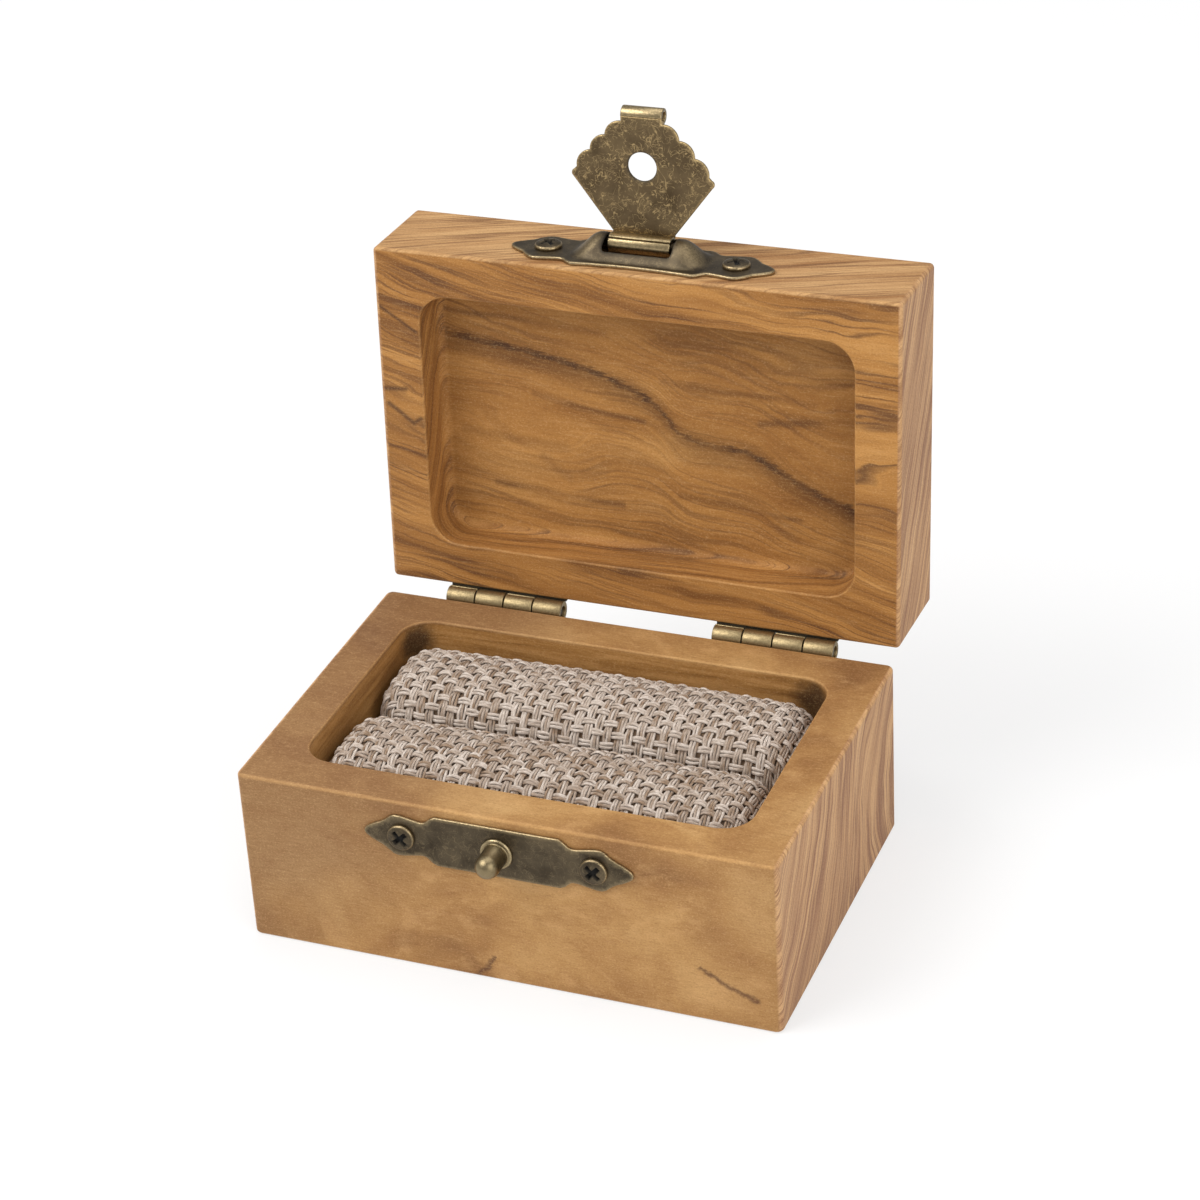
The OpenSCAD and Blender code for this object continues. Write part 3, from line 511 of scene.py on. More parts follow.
# ---- mesh helpers
def new_piece(name, shape, matrix, material, body, replaces=()):
    """A shape in millimetres, placed, given its finish and set on its body.

    A shape is its vertices, its arrays of faces, its point attributes and, where it has them, its UVs."""
    verts, faces, attrs, *uvs = shape
    mesh = bpy.data.meshes.new(name)
    m = np.array(matrix)
    v = (verts @ m[:3, :3].T + m[:3, 3]) * MM
    mesh.vertices.add(len(v))
    mesh.vertices.foreach_set("co", v.astype(np.float32).ravel())
    flat = np.concatenate([np.asarray(f, np.int32).ravel() for f in faces])
    sizes = np.concatenate([np.full(len(f), f.shape[1], np.int32) for f in faces])
    mesh.loops.add(len(flat))
    mesh.loops.foreach_set("vertex_index", flat)
    mesh.polygons.add(len(sizes))
    mesh.polygons.foreach_set("loop_start", np.concatenate([[0], np.cumsum(sizes)[:-1]]).astype(np.int32))
    mesh.update(calc_edges=True)
    for uv in uvs:
        mesh.uv_layers.new(name="UVMap").data.foreach_set("uv", uv.astype(np.float32)[flat].ravel())
    for key, values in attrs.items():
        mesh.attributes.new(key, "FLOAT", "POINT").data.foreach_set("value", values.astype(np.float32))
    mesh.validate()
    mesh.polygons.foreach_set("use_smooth", np.full(len(mesh.polygons), True))
    mesh.materials.append(material)
    ob = bpy.data.objects.new(name, mesh)
    bpy.context.scene.collection.objects.link(ob)
    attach(ob, body)
    if replaces:
        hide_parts(*replaces)
    return ob


def unit(vectors):
    return vectors / np.maximum(np.linalg.norm(vectors, axis=-1, keepdims=True), 1e-9)


def ring_quads(rings, n):
    """Quads between rings of n points that follow one another."""
    at, i = np.arange(rings - 1)[:, None] * n, np.arange(n)[None]
    a, b = (at + i).ravel(), (at + (i + 1) % n).ravel()
    return np.column_stack([a, b, b + n, a + n])


def resample(loop, step):
    """A closed loop with points about step apart, keeping its corners."""
    out = []
    loop = np.asarray(loop, float)
    for a, b in zip(loop, np.roll(loop, -1, 0)):
        n = max(1, int(round(np.linalg.norm(b - a) / step)))
        out += [a + (b - a) * i / n for i in range(n)]
    return np.array(out)


def area(loop):
    x, y = loop[:, 0], loop[:, 1]
    return 0.5 * np.sum(x * np.roll(y, -1) - y * np.roll(x, -1))


def offset(loop, d):
    """Moves a loop to its left by d: inwards for an anticlockwise one."""
    t = unit(np.roll(loop, -1, 0) - np.roll(loop, 1, 0))
    return loop + d * np.stack([-t[:, 1], t[:, 0]], 1)


def distance_to(points, loops, chunk=4000):
    """Distance of each point to the nearest loop segment."""
    best = np.full(len(points), 1e9)
    for a in loops:
        ab = np.roll(a, -1, 0) - a
        length = np.maximum((ab ** 2).sum(1), 1e-12)
        for start in range(0, len(points), chunk):
            part = slice(start, start + chunk)
            p = points[part, None]
            t = np.clip(((p - a) * ab).sum(2) / length, 0, 1)
            near = np.sqrt(((p - (a + t[..., None] * ab)) ** 2).sum(2)).min(1)
            best[part] = np.minimum(best[part], near)
    return best


def inside(points, loop):
    result = np.zeros(len(points), bool)
    for (x0, y0), (x1, y1) in zip(loop, np.roll(loop, -1, 0)):
        if y0 != y1:
            crossed = (points[:, 1] < y0) != (points[:, 1] < y1)
            result ^= crossed & (points[:, 0] < x0 + (points[:, 1] - y0) * (x1 - x0) / (y1 - y0))
    return result


def within_sheet(points, outer, holes):
    return inside(points, outer) & ~np.any([inside(points, h) for h in holes] or [False], axis=0)


def sheet_mesh(loops, rounding, spacing):
    """Points and triangles of a cut sheet seen flat: its loops, rings inside their edges, and an even grid."""
    pts, edges, start = [], [], 0
    for depth in (0.0, 0.3 * rounding, rounding):
        for loop in loops:
            pts.append(offset(loop, depth) if depth else loop)
            n = len(loop)
            if not depth:
                edges += [(start + i, start + (i + 1) % n) for i in range(n)]
            start += n
    row = spacing * 0.866  # rows of even triangles
    lo, hi = loops[0].min(0), loops[0].max(0)
    nx, ny = int((hi[0] - lo[0]) / spacing) + 2, int((hi[1] - lo[1]) / row) + 2
    gx, gy = np.meshgrid(np.arange(nx), np.arange(ny), indexing="ij")
    grid = np.stack([lo[0] + (gx + 0.5 * (gy % 2)) * spacing, lo[1] + gy * row], -1).reshape(-1, 2)
    grid = grid[within_sheet(grid, loops[0], loops[1:])]
    grid = grid[distance_to(grid, loops) > rounding + 0.35 * spacing]
    allp = np.concatenate(pts + [grid])
    vs, _, fs, _, _, _ = delaunay_2d_cdt([Vector(p) for p in allp], edges, [], 0, 1e-7)
    flat = np.array([[p.x, p.y] for p in vs])
    tri = np.array([f for f in fs if len(f) == 3], int)
    tri = tri[within_sheet(flat[tri].mean(1), loops[0], loops[1:])]
    cross = np.cross(flat[tri[:, 1]] - flat[tri[:, 0]], flat[tri[:, 2]] - flat[tri[:, 0]])
    tri[cross < 0] = tri[cross < 0][:, ::-1]
    return flat, tri


def pressed(outer, holes, thick, rounding, spacing, height=None, hollow=None, painted_highlight=None, rim_width=0.22, step=None,
            both=True):
    """A sheet cut to an outline, with rounded edges, lifted by height(x, y): a shape with a top, sides and a back.

    Its rim is 1 along the outer edge, and the highlight function adds a painted highlight to it; hollow(x, y) darkens
    recesses. The edges of the back are rounded too if both."""
    loops = [resample(loop, step or spacing) for loop in [outer, *holes]]
    loops = [loop[::-1] if (area(loop) > 0) == (k > 0) else loop for k, loop in enumerate(loops)]
    flat, tri = sheet_mesh(loops, rounding, spacing)
    x, y = flat.T
    n = len(flat)
    k = np.clip(distance_to(flat, loops) / rounding, 0, 1)
    drop = rounding * (1 - np.sqrt(np.maximum(0, 1 - (1 - k) ** 2)))
    base = height(x, y) if height else np.zeros(n)
    top = np.column_stack([flat, base + thick - drop])
    back = np.column_stack([flat, base + (drop if both else 0)])
    # the triangles' open edges close the sides
    e = np.concatenate([tri[:, [0, 1]], tri[:, [1, 2]], tri[:, [2, 0]]])
    known = {tuple(pair) for pair in e}
    a, b = np.array([pair for pair in e if (pair[1], pair[0]) not in known]).T
    rim = np.clip(1 - (distance_to(flat, loops[:1]) - 0.4 * rounding) / rim_width, 0, 1) ** 1.5
    # the added brightness is a painted highlight
    if painted_highlight:
        rim = np.clip(rim + painted_highlight(x, y), 0, 1)
    dark = hollow(x, y) if hollow else np.zeros(n)
    if holes:
        dark = np.maximum(dark, 0.6 * np.clip(1 - distance_to(flat, loops[1:]) / 0.3, 0, 1))
    return (np.concatenate([top, back]), [tri, tri[:, ::-1] + n, np.column_stack([a, a + n, b + n, b])],
            {"rim": np.tile(rim, 2), "hollow": np.tile(dark, 2)})


def circle(radius, n=40, at=(0, 0), start=0.0, sweep=2 * math.pi):
    """Points round a circle, or on an arc of it with both its ends."""
    t = start + sweep * np.arange(n) / (n if abs(sweep) > 6.28 else n - 1)
    return [(at[0] + radius * math.cos(a), at[1] + radius * math.sin(a)) for a in t]


def screw_holes(radius, x, y):
    return [circle(radius, 20, (side * x, y)) for side in (-1, 1)]


def mirrored(half):
    """Closed outline from the points of its right-hand half."""
    return list(half) + [(-x, y) for x, y in reversed(half)]


def rolled(radius, thick, start, sweep, points, length, rounding, spacing=0.22):
    """Sheet rolled to an arc, start and sweep in degrees, in the plane (y, z), and as long as length along x."""
    arcs = [circle(r, points, (0, 0), math.radians(start), math.radians(sweep)) for r in (radius, radius - thick)]
    section = arcs[0] + arcs[1][::-1]
    verts, *rest = pressed(section, [], length, rounding, spacing, rim_width=0.12)
    return verts[:, [2, 0, 1]] - (length / 2, 0, 0), *rest


def spun(profile, n, rims=None):
    """A profile of (radius, height) points spun about z; rims is how bright each is rubbed."""
    prof = np.asarray(profile, float)
    t = 2 * math.pi * np.arange(n) / n
    rings = [np.column_stack([r * np.cos(t), r * np.sin(t), np.full(n, h)]) for r, h in prof]
    verts = np.concatenate(rings + [[[0, 0, prof[0][1]], [0, 0, prof[-1][1]]]])
    i, j, last = np.arange(n), np.roll(np.arange(n), -1), (len(prof) - 1) * n
    caps = [np.column_stack([j, i, np.full(n, len(verts) - 2)]),
            np.column_stack([last + i, last + j, np.full(n, len(verts) - 1)])]
    rim = np.append(np.repeat(rims or [0.0] * len(prof), n), [0, 0])
    return verts, [ring_quads(len(prof), n), *caps], {"rim": rim, "hollow": np.zeros(len(verts))}


def cross_screw(diameter, head, turned, spacing=0.085):
    """Domed head with a cross recess, turned by an angle."""
    r, skirt, slope = diameter / 2, 0.45, 0.10
    arm, half = 0.66 * r, 0.20 * r
    depth = min(0.60, 0.75 * head)

    def cross(x, y, grown=0.0):
        c, s = math.cos(turned), math.sin(turned)
        u, v = np.abs(c * x + s * y), np.abs(-s * x + c * y)
        return np.maximum(*[np.clip((arm + grown - p) / slope, 0, 1) * np.clip((half + grown - q) / slope, 0, 1)
                            for p, q in ((u, v), (v, u))])

    def lift(x, y):
        dome = (head - skirt) * (1 - np.clip(np.hypot(x, y) / r, 0, 1) ** 2.2)
        return dome - depth * cross(x, y)

    return pressed(circle(r, 56), [], skirt, 0.16, spacing, lift, lambda x, y: cross(x, y, 0.02), rim_width=0.16,
                   step=0.17, both=False)


# ---- clasp
def plate_half(height, hollow=0.0):
    """Right-hand half of the bracket plates' outline, from the lower edge round the tip to the upper edge."""
    h, flat = height / 2, 8.0
    quarter = [(flat, h), (8.6, h - 0.30), (9.35, h - 0.98), (9.8, h - 1.10), (10.3, h - 1.06), (12.6, h - 0.62),
               (13.3, h - 0.60), (13.85, h - 0.80), (14.6, h - 1.45), (15.3, 0.46 * h), (16.0, 0.37 * h),
               (16.7, 0.26 * h), (17.2, 0.16 * h), (17.45, 0.06 * h)]
    low = [(x, hollow * (1 - (x / flat) ** 2) - h) for x in np.linspace(0, flat, 9)[:-1]] if hollow else []
    return low + [(x, -y) for x, y in quarter] + quarter[::-1]


def fan_half():
    """Right-hand half of the tongue's outline, from the barrel to the lip."""
    w, reach, nub, bulge, dip = 9.4, 8.1, 0.55, 0.62, 0.3
    lip, top, far, scallops = 2.7, 16.35, 17.4, 3
    half = [(4.1, 0.0), (4.1, 1.2), (w - 0.3 * nub, reach - 0.2 * nub)]
    half += circle(nub, 7, (w - nub, reach + 0.25), -0.75, 1.9)
    a = np.array([w - 1.25 * nub, reach + 0.25 + 1.6 * nub])
    run = np.array([lip, far - 1.7 * 1.05]) - a
    out = np.array([run[1], -run[0]]) / np.linalg.norm(run)
    steps = [k / scallops for k in range(scallops + 1)]
    valley = [a + run * t + dip * math.sin(math.pi * t) * out for t in steps]
    for p, q in zip(valley, valley[1:]):
        c = np.linalg.norm(q - p)
        radius = (c * c / 4 + bulge ** 2) / (2 * bulge)
        n = np.array([(q - p)[1], -(q - p)[0]]) / c
        centre = (p + q) / 2 + (bulge - radius) * n
        s, e = math.atan2(*(p - centre)[::-1]), math.atan2(*(q - centre)[::-1])
        half += circle(radius, 12, centre, s, e - s)[:-1 if q is not valley[-1] else None]
    return half + [(lip, top)]


def dome(x, y):
    """Height of the hasp plate's pressed dome."""
    run, end, half, high = 5.3, 3.9, 3.45, 2.62
    along = np.clip((np.abs(x) - run) / end, 0, 1)
    t = np.clip(np.abs(y) / (half * (1 - 0.30 * along ** 2)), 0, 1)
    body = np.where(t < 1, (np.cos(t * QUARTER) ** 0.9) * (1 - t ** 6), 0)
    return high * body * (0.5 * (1 + np.cos(math.pi * along))) ** 0.85


def cheek_highlight(x, y):
    """A painted highlight on the lower slopes of the dome's two cheek humps: how bright each spot is made."""
    return 0.75 * np.clip(1 - np.hypot((np.abs(x) - 6.9) / 1.9, (y + 0.9) / 1.9), 0, 1) ** 0.6


def build_clasp(plate, sheet, rubbed, knob, dark_metal):
    slot, rounding, screw_z = "clasp_bronze", 0.17, 5.0
    at_pin = LID @ FRONT @ move(0, PIN_RISE, 0)
    at_tongue = at_pin @ move(0, 0, PIN_OUT)  # the tongue's pin, along x
    at_knob = FRONT @ move(0, KNOB_Z, 0)

    def screws(word, at, body, node, turns):
        for k, s in enumerate((-1, 1)):
            new_piece(f"{word}_screw_{k}", cross_screw(PLATE_SCREW_D, 0.85, turns[k]),
                      at @ move(s * PLATE_SCREW_X, 0, SHEET), plate, body, [node])

    # plate with its pressed dome and window
    r, right, low, high = 0.5, 4.6 - 0.5, -2.4 + 0.5, 1.35 - 0.5
    corners = ((right, low, -1), (right, high, 0), (-right, high, 1), (-right, low, 2))
    window = [p for x, y, k in corners for p in circle(r, 6, (x, y), k * QUARTER, QUARTER)]
    shift = screw_z - PIN_RISE
    outline = [(x, y + shift) for x, y in mirrored(plate_half(8.4, 0.5))]
    holes = [window] + screw_holes(PLATE_SCREW_HOLE, PLATE_SCREW_X, shift)
    # the dome's cheek slopes get a painted highlight on top of the rubbed rim
    new_piece("clasp_plate", pressed(outline, holes, SHEET, rounding, 0.26, dome, painted_highlight=cheek_highlight), at_pin, plate,
              "lid", ["hasp_plate"])
    screws("clasp", LID @ FRONT @ move(0, screw_z, 0), "lid", "hasp_screws", (0.85, 0.5))
    new_piece("clasp_pin", spun([(0.5, -5.6), (0.6, -5.5), (0.6, 5.5), (0.5, 5.6)], 24),
              at_tongue @ turn(QUARTER, "Y"), dark_metal, "lid", ["tongue_pin"])
    # tongue, standing out of the lid's front face
    new_piece("tongue_fan", pressed(mirrored(fan_half()), [circle(1.9, 44, (0, 9.9))], SHEET, 0.13, 0.30),
              at_tongue @ move(0, 1.3, 0) @ turn(QUARTER, "X"), sheet, "tongue", ["hasp_tongue"])
    new_piece("tongue_barrel", rolled(1.3, 0.55, 131, -352, 60, 8.2, 0.10), at_tongue, rubbed, "tongue")
    curl = 1.05
    new_piece("tongue_lip", rolled(curl, 0.45, 180, -292, 44, 5.4, 0.10), at_tongue @ move(0, 0.8 + curl, 16.35),
              rubbed, "tongue")
    # catch
    holes = screw_holes(PLATE_SCREW_HOLE, PLATE_SCREW_X, 0)
    new_piece("catch_face", pressed(mirrored(plate_half(7.0)), holes, SHEET, rounding, 0.5), at_knob, plate, "base",
              ["catch_plate"])
    screws("catch", at_knob, "base", "catch_screws", (0.72, 0.80))
    post, tall = 1.55, 2.85
    nose = [(post * math.cos(a), tall + post * math.sin(a)) for a in np.linspace(0, QUARTER - 0.02, 12)]
    flange = [(2.1, 0.0), (2.1, 0.16), (2.02, 0.32), (1.88, 0.40), (1.72, 0.36), (1.60, 0.42), (post, 0.55)]
    rims = [0.1, 0.5, 0.8, 0.5] + [0.0] * (len(flange) - 4 + len(nose))
    new_piece("catch_post", spun(flange + nose, 48, rims), at_knob @ move(0, 0, SHEET), knob, "base",
              ["catch_knob"])


# ---- hinges
def leaf_outline(length, pitch, knuckle, first):
    """A leaf with two round corners, and tabs that run into its own knuckles."""
    half, reach, near, tab, c = length / 2, 6.6, 1.12, 0.9, 0.8
    loop = [(-half, near), (-half, reach - c)] + circle(c, 8, (c - half, reach - c), math.pi, -QUARTER)
    loop += circle(c, 8, (half - c, reach - c), QUARTER, -QUARTER) + [(half, reach - c), (half, near)]
    for i in (i for i in (3, 2, 1, 0) if i % 2 == first):
        x = i * pitch - half
        loop += [(x + knuckle, near), (x + knuckle, tab), (x, tab), (x, near)]
    return loop


def build_hinges(brass, dark_metal):
    slot, length, spacing, radius, gap, thick = "hinge_brass", 16.2, 37.2, 1.4, 0.16, 0.5
    lid_thick = 0.6  # closes the slit between the lid and the knuckles
    pitch = (length + gap) / 4
    knuckle = pitch - gap
    seat = {"base": BACK @ move(0, AXIS_Z, 0), "lid": LID @ BACK @ move(0, AXIS_Z - BASE_H - RIM_GAP, 0)}
    pin = [(0.30, 0.22), (0.58, 0.34), (0.65, 0.6)]  # radius and distance from the end of the knuckles
    pin = [(r, z - length / 2) for r, z in pin] + [(r, length / 2 - z) for r, z in reversed(pin)]
    for side, word in ((-1, "left"), (1, "right")):
        for body, first, up, sheet in (("base", 0, -1, thick), ("lid", 1, 1, lid_thick)):
            m = seat[body] @ move(-side * spacing / 2, 0, 0)
            name = f"{word}_hinge_{body}_leaf"
            loop = [(x, up * y) for x, y in leaf_outline(length, pitch, knuckle, first)]
            holes = screw_holes(LEAF_SCREW_HOLE, LEAF_SCREW_X, up * LEAF_SCREW_Y)
            # the leaf is darkened next to its knuckles: painted shade between the knuckles, the leaf and the wood
            new_piece(f"{name}_sheet", pressed(loop, holes, sheet, 0.08, 0.5, hollow=lambda x, y: (
                0.85 * np.clip((2.1 - np.abs(y)) / 0.5, 0, 1))), m, brass, body, [name])
            for i in range(first, 4, 2):
                # the seam of the rolled knuckle faces its own leaf
                at = m @ move(knuckle / 2 + i * pitch - length / 2, 0, AXIS_Y - D / 2)
                new_piece(f"{name}_knuckle_{i}", rolled(radius, 0.62, up * 8 - 90, up * 352, 56, knuckle, 0.09,
                                                        0.4), at, brass, body)
        new_piece(f"{word}_pin", spun(pin, 24), move(side * spacing / 2, AXIS_Y, AXIS_Z) @ turn(QUARTER, "Y"),
                  dark_metal, "base", [f"{word}_hinge_pin"])
    for body, up in (("base", -1), ("lid", 1)):
        node = f"{body}_hinge_screws"
        spots = [side * spacing / 2 + s * LEAF_SCREW_X for side in (-1, 1) for s in (-1, 1)]
        for k, x in enumerate(spots):
            new_piece(f"{node}_{k}", cross_screw(LEAF_SCREW_D, 0.6, 0.4 + 0.9 * k, 0.16),
                      seat[body] @ move(x, up * LEAF_SCREW_Y, thick), brass, body, [node])


# ---- ring rolls
ROLL_L, ROLL_W, ROLL_H, SHOULDER = 57.3, 16.975, 17.6, 9.5
ROLL_Y, FLOOR_Z = (ROLL_W + 0.35) / 2, 6.0
CLEAR = 0.50  # the yarns' thickness lies inside the roll's size
A, B, RISE = ROLL_L / 2 - CLEAR, ROLL_W / 2 - CLEAR, ROLL_H - SHOULDER - CLEAR
END, SAG = 5.6, 0.4  # length of a rounded end, and how far it sags
POWER, PLAN = 2.75, 3.4  # roundness of the section and of the plan
PITCH, SAMPLES, STRAND_SIDES = 1.42, 4.7, 5  # between yarns; points along a strand for each pitch
CUT_Z = 8.6  # below this the strands aren't seen
# strands in a yarn, their spacing, half width, half thickness, lift over a crossing, share of brown ones
YARN_KINDS = ((3, 0.345, 0.195, 0.160, 0.10, 0.55), (2, 0.400, 0.235, 0.170, 0.27, 0.30))


def quarter_arc(run, n=400):
    """A quarter of the section's curve, from the crown out: arc length, and position as a fraction of the run."""
    t = np.linspace(0, QUARTER, n)
    c, s = np.sin(t) ** (2 / POWER), np.cos(t) ** (2 / POWER)
    return np.append(0, np.cumsum(np.hypot(np.diff(c * run), np.diff(s * RISE)))), c


ARC_Y, FRAC_Y = quarter_arc(B)
ARC_X, FRAC_X = quarter_arc(END)


def roll_surface(u, v):
    """Point of the roll's cloth, u along it and v across, as lengths from the middle of the crown."""
    flat = A - END
    au, av = np.abs(u), np.abs(v)
    over = np.maximum(0, au - flat)
    down = np.maximum(0, av - ARC_Y[-1]) + np.maximum(0, over - ARC_X[-1])
    cx, cy = np.interp(over, ARC_X, FRAC_X), np.interp(av, ARC_Y, FRAC_Y)
    rho = (cy ** PLAN + cx ** PLAN) ** (1 / PLAN)
    k = 1 / np.maximum(rho, 1)
    x = np.sign(u) * (np.minimum(au, flat) + END * cx * k)
    y = np.sign(v) * B * cy * k
    z = SHOULDER + RISE * np.maximum(0, 1 - np.minimum(rho, 1) ** POWER) ** (1 / POWER)
    z = z - np.maximum(0, rho - 1) * 9.0 - down  # past the shoulder the cloth hangs straight down
    z = z - SAG * (x / A) ** 2 * np.clip(z / ROLL_H, 0, 1)
    return np.stack([x, y, z], -1)


def roll_frame(u, v, e=0.05):
    """Points of the cloth and the normals there."""
    du = roll_surface(u + e, v) - roll_surface(u - e, v)
    dv = roll_surface(u, v + e) - roll_surface(u, v - e)
    return roll_surface(u, v), unit(np.cross(du, dv))


def yarns(seed):
    """Every strand of one roll's plain weave as a closed tube, with what colours each strand."""
    r = np.random.default_rng(seed)
    verts, quads, caps, uv, tint, kind = [], [], [], [], [], []
    count = 0
    reach_u, reach_v = 29.0 + 3.5, ARC_Y[-1] + 2.6
    # where the yarns lie: even along the roll, and opening a little towards the roll's lower sides
    nu, nv = int(reach_u / PITCH), int(reach_v / PITCH)
    index_u, index_v = np.arange(-nu, nu + 1), np.arange(-nv, nv + 1)
    at_u = index_u * PITCH + r.normal(0, 0.04 * PITCH, len(index_u))
    at_v = index_v * PITCH * (0.97 + 0.05 * (index_v / nv) ** 2) + r.normal(0, 0.035 * PITCH, len(index_v))
    t = 2 * math.pi * np.arange(STRAND_SIDES) / STRAND_SIDES
    ring_x, ring_y = np.sign(np.cos(t)) * np.abs(np.cos(t)) ** 0.85, np.sin(t)

    def wave(s, low, high):
        """A sine along s with a random pitch between low and high."""
        return np.sin(s * r.uniform(low, high) + r.uniform(0, 6))

    for family, (strands, gap, half, thick, lift, brown) in enumerate(YARN_KINDS):
        along = ((at_u, reach_v, at_v, index_v), (at_v, reach_u, at_u, index_u))
        lines, limit, cross_at, cross_index = along[family]
        for i, line in enumerate(lines):
            s = np.linspace(-limit, limit, int(2 * limit / PITCH * SAMPLES))
            line = line + 0.07 * PITCH * wave(s, 0.2, 0.5)
            swing = np.cos(math.pi * (np.interp(s, cross_at, cross_index) + i + family))
            swing = np.sign(swing) * np.abs(swing) ** 0.7  # 1 over a crossing, -1 under it
            for place in np.arange(strands) - (strands - 1) / 2:
                side = line + place * gap * (1 + 0.10 * swing)
                side = side + 0.045 * wave(s, 0.7, 1.6) + 0.030 * wave(s, 2.0, 3.4)
                p, n = roll_frame(*((side, s) if family == 0 else (s, side)))
                live = p[:, 2] > CUT_Z
                if live.sum() < 6:
                    continue
                part = slice(np.argmax(live), len(live) - np.argmax(live[::-1]))
                p, n, ss = p[part], n[part], s[part]
                across = unit(np.cross(n, unit(np.gradient(p, axis=0))))
                high = lift * r.uniform(0.85, 1.15) * swing[part] + 0.022 * wave(ss, 1.5, 3.0) - 0.04 * abs(place)
                wide = half * (1 + 0.10 * wave(ss, 0.8, 2.2))
                ring = ((p + n * high[:, None])[:, None] + across[:, None] * (wide[:, None] * ring_x)[..., None]
                        + n[:, None] * (thick * ring_y)[None, :, None])
                m, c = len(p), STRAND_SIDES
                verts.append(ring.reshape(-1, 3))
                quads.append(ring_quads(m, c) + count)
                caps += [np.arange(c)[::-1] + count, np.arange(c) + (m - 1) * c + count]
                uv.append(np.column_stack([np.repeat(ss, c) + 40 * r.random(), np.tile(ring_x, m)]))
                tint.append(np.full(m * c, r.random()))
                kind.append(np.full(m * c, float(r.random() < brown)))
                count += m * c
    attrs = {"tint": np.concatenate(tint), "kind": np.concatenate(kind)}
    return np.concatenate(verts), [np.concatenate(quads), np.array(caps)], attrs, np.concatenate(uv)


def lining_shape(inset=0.30, corner=13, along=39, foot=0.05):
    """Closed padded form just under the yarns: rings from the ridge out to the shoulder, then a skirt to the foot."""
    t = np.linspace(0, QUARTER, corner)
    turned = np.column_stack([np.cos(t), np.sin(t)]).clip(0) ** (2 / PLAN)
    flat = A - END
    # one ring, its front half and then its back half: the straight part's x, and how far out each point lies
    fixed = np.concatenate([np.full(corner, flat), np.linspace(flat, -flat, along + 2)[1:-1], np.full(corner, -flat)])
    dx = np.concatenate([turned[:, 0], np.zeros(along), -turned[::-1, 0]])
    dy = np.concatenate([turned[:, 1], np.ones(along), turned[::-1, 1]])
    m = len(fixed)
    fixed, dx, dy = (np.append(v, sign * v[m - 2:0:-1]) for v, sign in ((fixed, 1), (dx, 1), (dy, -1)))
    a = np.linspace(0.12, QUARTER, 24)
    outs, heights = np.sin(a) ** (2 / POWER), SHOULDER + (RISE - inset) * np.cos(a).clip(0) ** (2 / POWER)
    levels = list(zip(outs, heights)) + [(1.0, z) for z in np.linspace(SHOULDER, foot, 6)[1:]]
    rings = []
    for out, z in levels:
        x = fixed + (END - inset) * out * dx
        rings.append(np.column_stack([x, (B - inset) * out * dy, z - SAG * (x / A) ** 2 * z / ROLL_H]))
    n, last = len(fixed), (len(levels) - 1) * len(fixed)
    walls = np.roll(ring_quads(len(levels), n)[:, ::-1], 1, axis=1)
    c = np.arange(1, m - 2)
    cap = np.column_stack([c, c + 1, n - c - 1, n - c])
    tips = np.array([[0, 1, n - 1], [m - 2, m - 1, m]])
    return np.concatenate(rings), [walls, cap, cap[:, ::-1] + last, tips, tips[:, ::-1] + last], {}


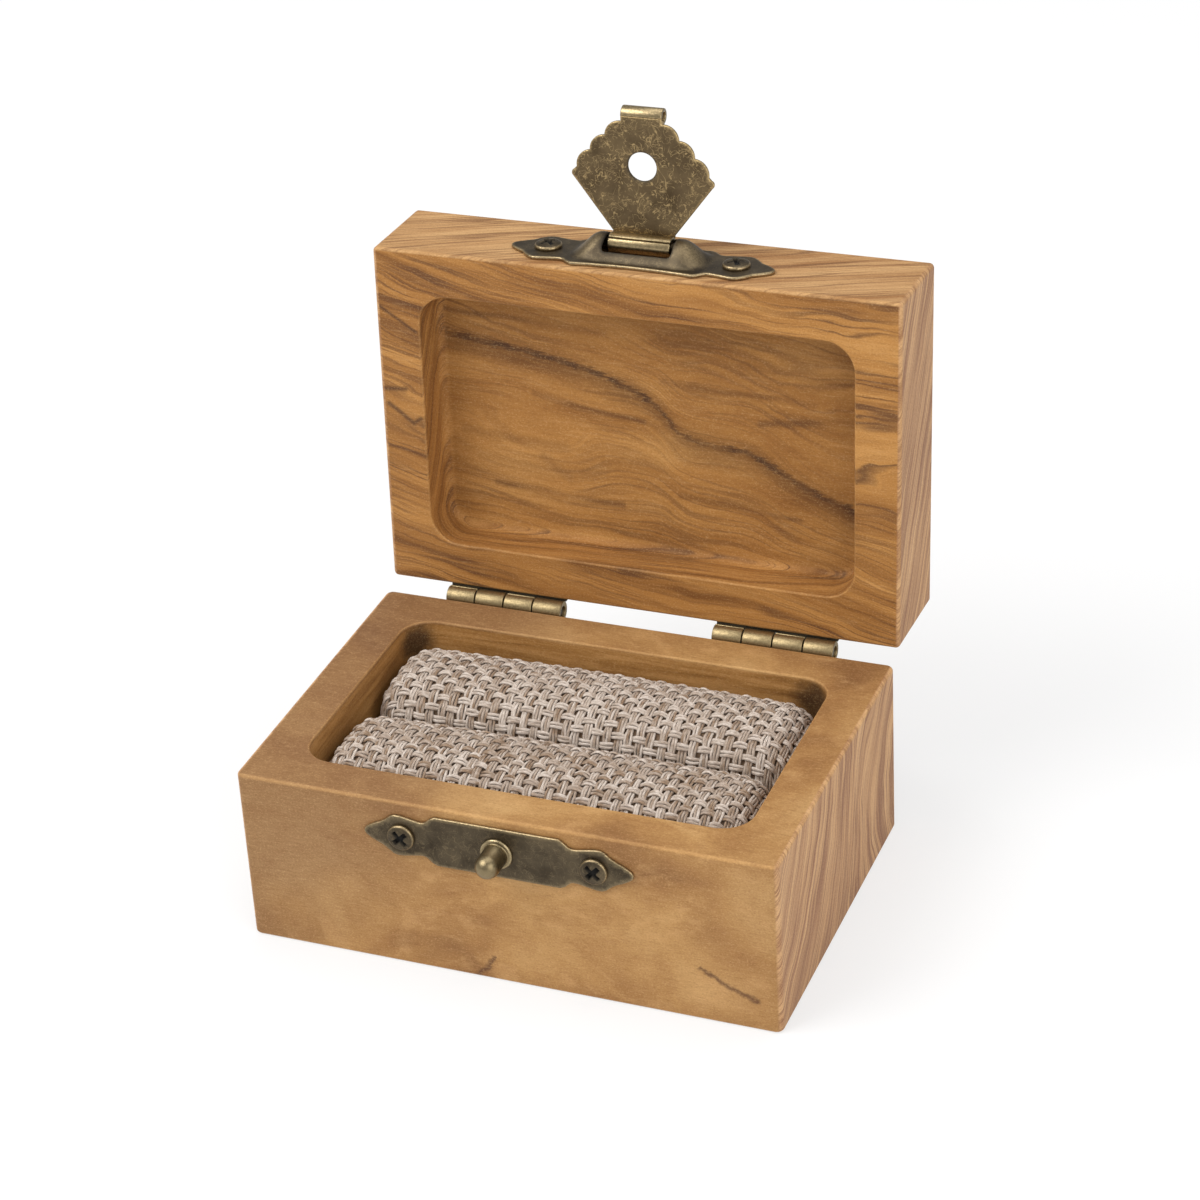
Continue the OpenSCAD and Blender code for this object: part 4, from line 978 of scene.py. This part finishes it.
def make_yarn_material():
    g = Graph("woven_cover")
    along, across, _ = g.split(g.new("TexCoord").outputs["UV"])
    tint, kind = g.attribute("tint"), g.attribute("kind")
    fibres = g.noise(g.join(g.mul(along, 0.8), g.mul(across, 1.6), g.mul(tint, 50.0)), 2.2, 3, 0.65)
    slow = g.noise(g.join(g.mul(along, 0.40), 0.0, g.mul(tint, 90.0)), 1.0, 2, 0.6)
    light = g.tones(fibres, (0.30, (156, 138, 122)), (0.48, (198, 184, 171)), (0.66, (222, 211, 201)))
    brown = g.tones(fibres, (0.30, (106, 82, 60)), (0.50, (140, 115, 92)), (0.68, (172, 149, 127)))
    share = g.add(g.mul(kind, 0.50), g.mul(g.step(slow, 0.44, 0.62), 0.48), clamp=True)
    height = g.noise(g.join(g.mul(along, 2.0), g.mul(across, 2.6), g.mul(tint, 50.0)), 2.0, 3, 0.7)
    return g.finish(Base_Color=g.mix(share, light, brown), Roughness=0.85, Normal=g.bump(height, 0.6, 0.00010),
                    Sheen_Weight=0.15, Sheen_Roughness=0.5, Specular_IOR_Level=0.2)


def make_lining_shade_material():
    g = Graph("lining_painted_shade")
    n = g.noise(g.place(), 2.0, 3, 0.6)
    # the lining's dark brown is painted shade: it stands for the shadow in the gaps between the yarns
    return g.finish(Base_Color=g.tones(n, (0.3, (88, 68, 52)), (0.7, (132, 108, 86))), Roughness=0.95,
                    Normal=g.bump(n, 0.4, 0.0001))


def build_rolls():
    yarn, lining = make_yarn_material(), make_lining_shade_material()
    for side, word, seed in ((-1, "front", 10), (1, "rear", 12)):
        at = move(0, side * ROLL_Y, FLOOR_Z)
        new_piece(f"{word}_roll_weave", yarns(seed), at, yarn, "base", [f"{word}_roll_cover"])
        under = new_piece(f"{word}_roll_lining", lining_shape(), at, lining, "base",
                          [f"{word}_roll_core"])


# ---- put it together
make_camera()
build_stage()
build_lights()
for node, wood in (("base_box", make_wood_base()), ("lid", make_wood_lid())):
    nodes[node].data.materials.clear()
    nodes[node].data.materials.append(wood)

bronze = make_metal("clasp_bronze", (60, 52, 42), (86, 76, 61), (178, 157, 120), 0.22, 0.48)
tongue_metal = make_metal("tongue_bronze", (82, 68, 49), (106, 90, 67), (196, 170, 122), 1.0, 0.50)
bright = make_metal("clasp_bronze_rubbed", (54, 45, 32), (90, 79, 60), (178, 158, 120), 0.3, 0.40)
brass = make_metal("hinge_brass", (82, 70, 50), (116, 101, 74), (164, 145, 108), 0.25, 0.52)
knob_metal = make_metal("knob_brass", (92, 80, 58), (136, 121, 92), (182, 164, 128), 0.3, 0.36)
dark_metal = make_metal("pin_metal", (34, 30, 24), (58, 50, 38), (104, 92, 70), 0.3, 0.45)
build_clasp(bronze, tongue_metal, bright, knob_metal, dark_metal)
build_hinges(brass, dark_metal)
build_rolls()

scene = bpy.context.scene
scene.view_settings.view_transform = "Standard"
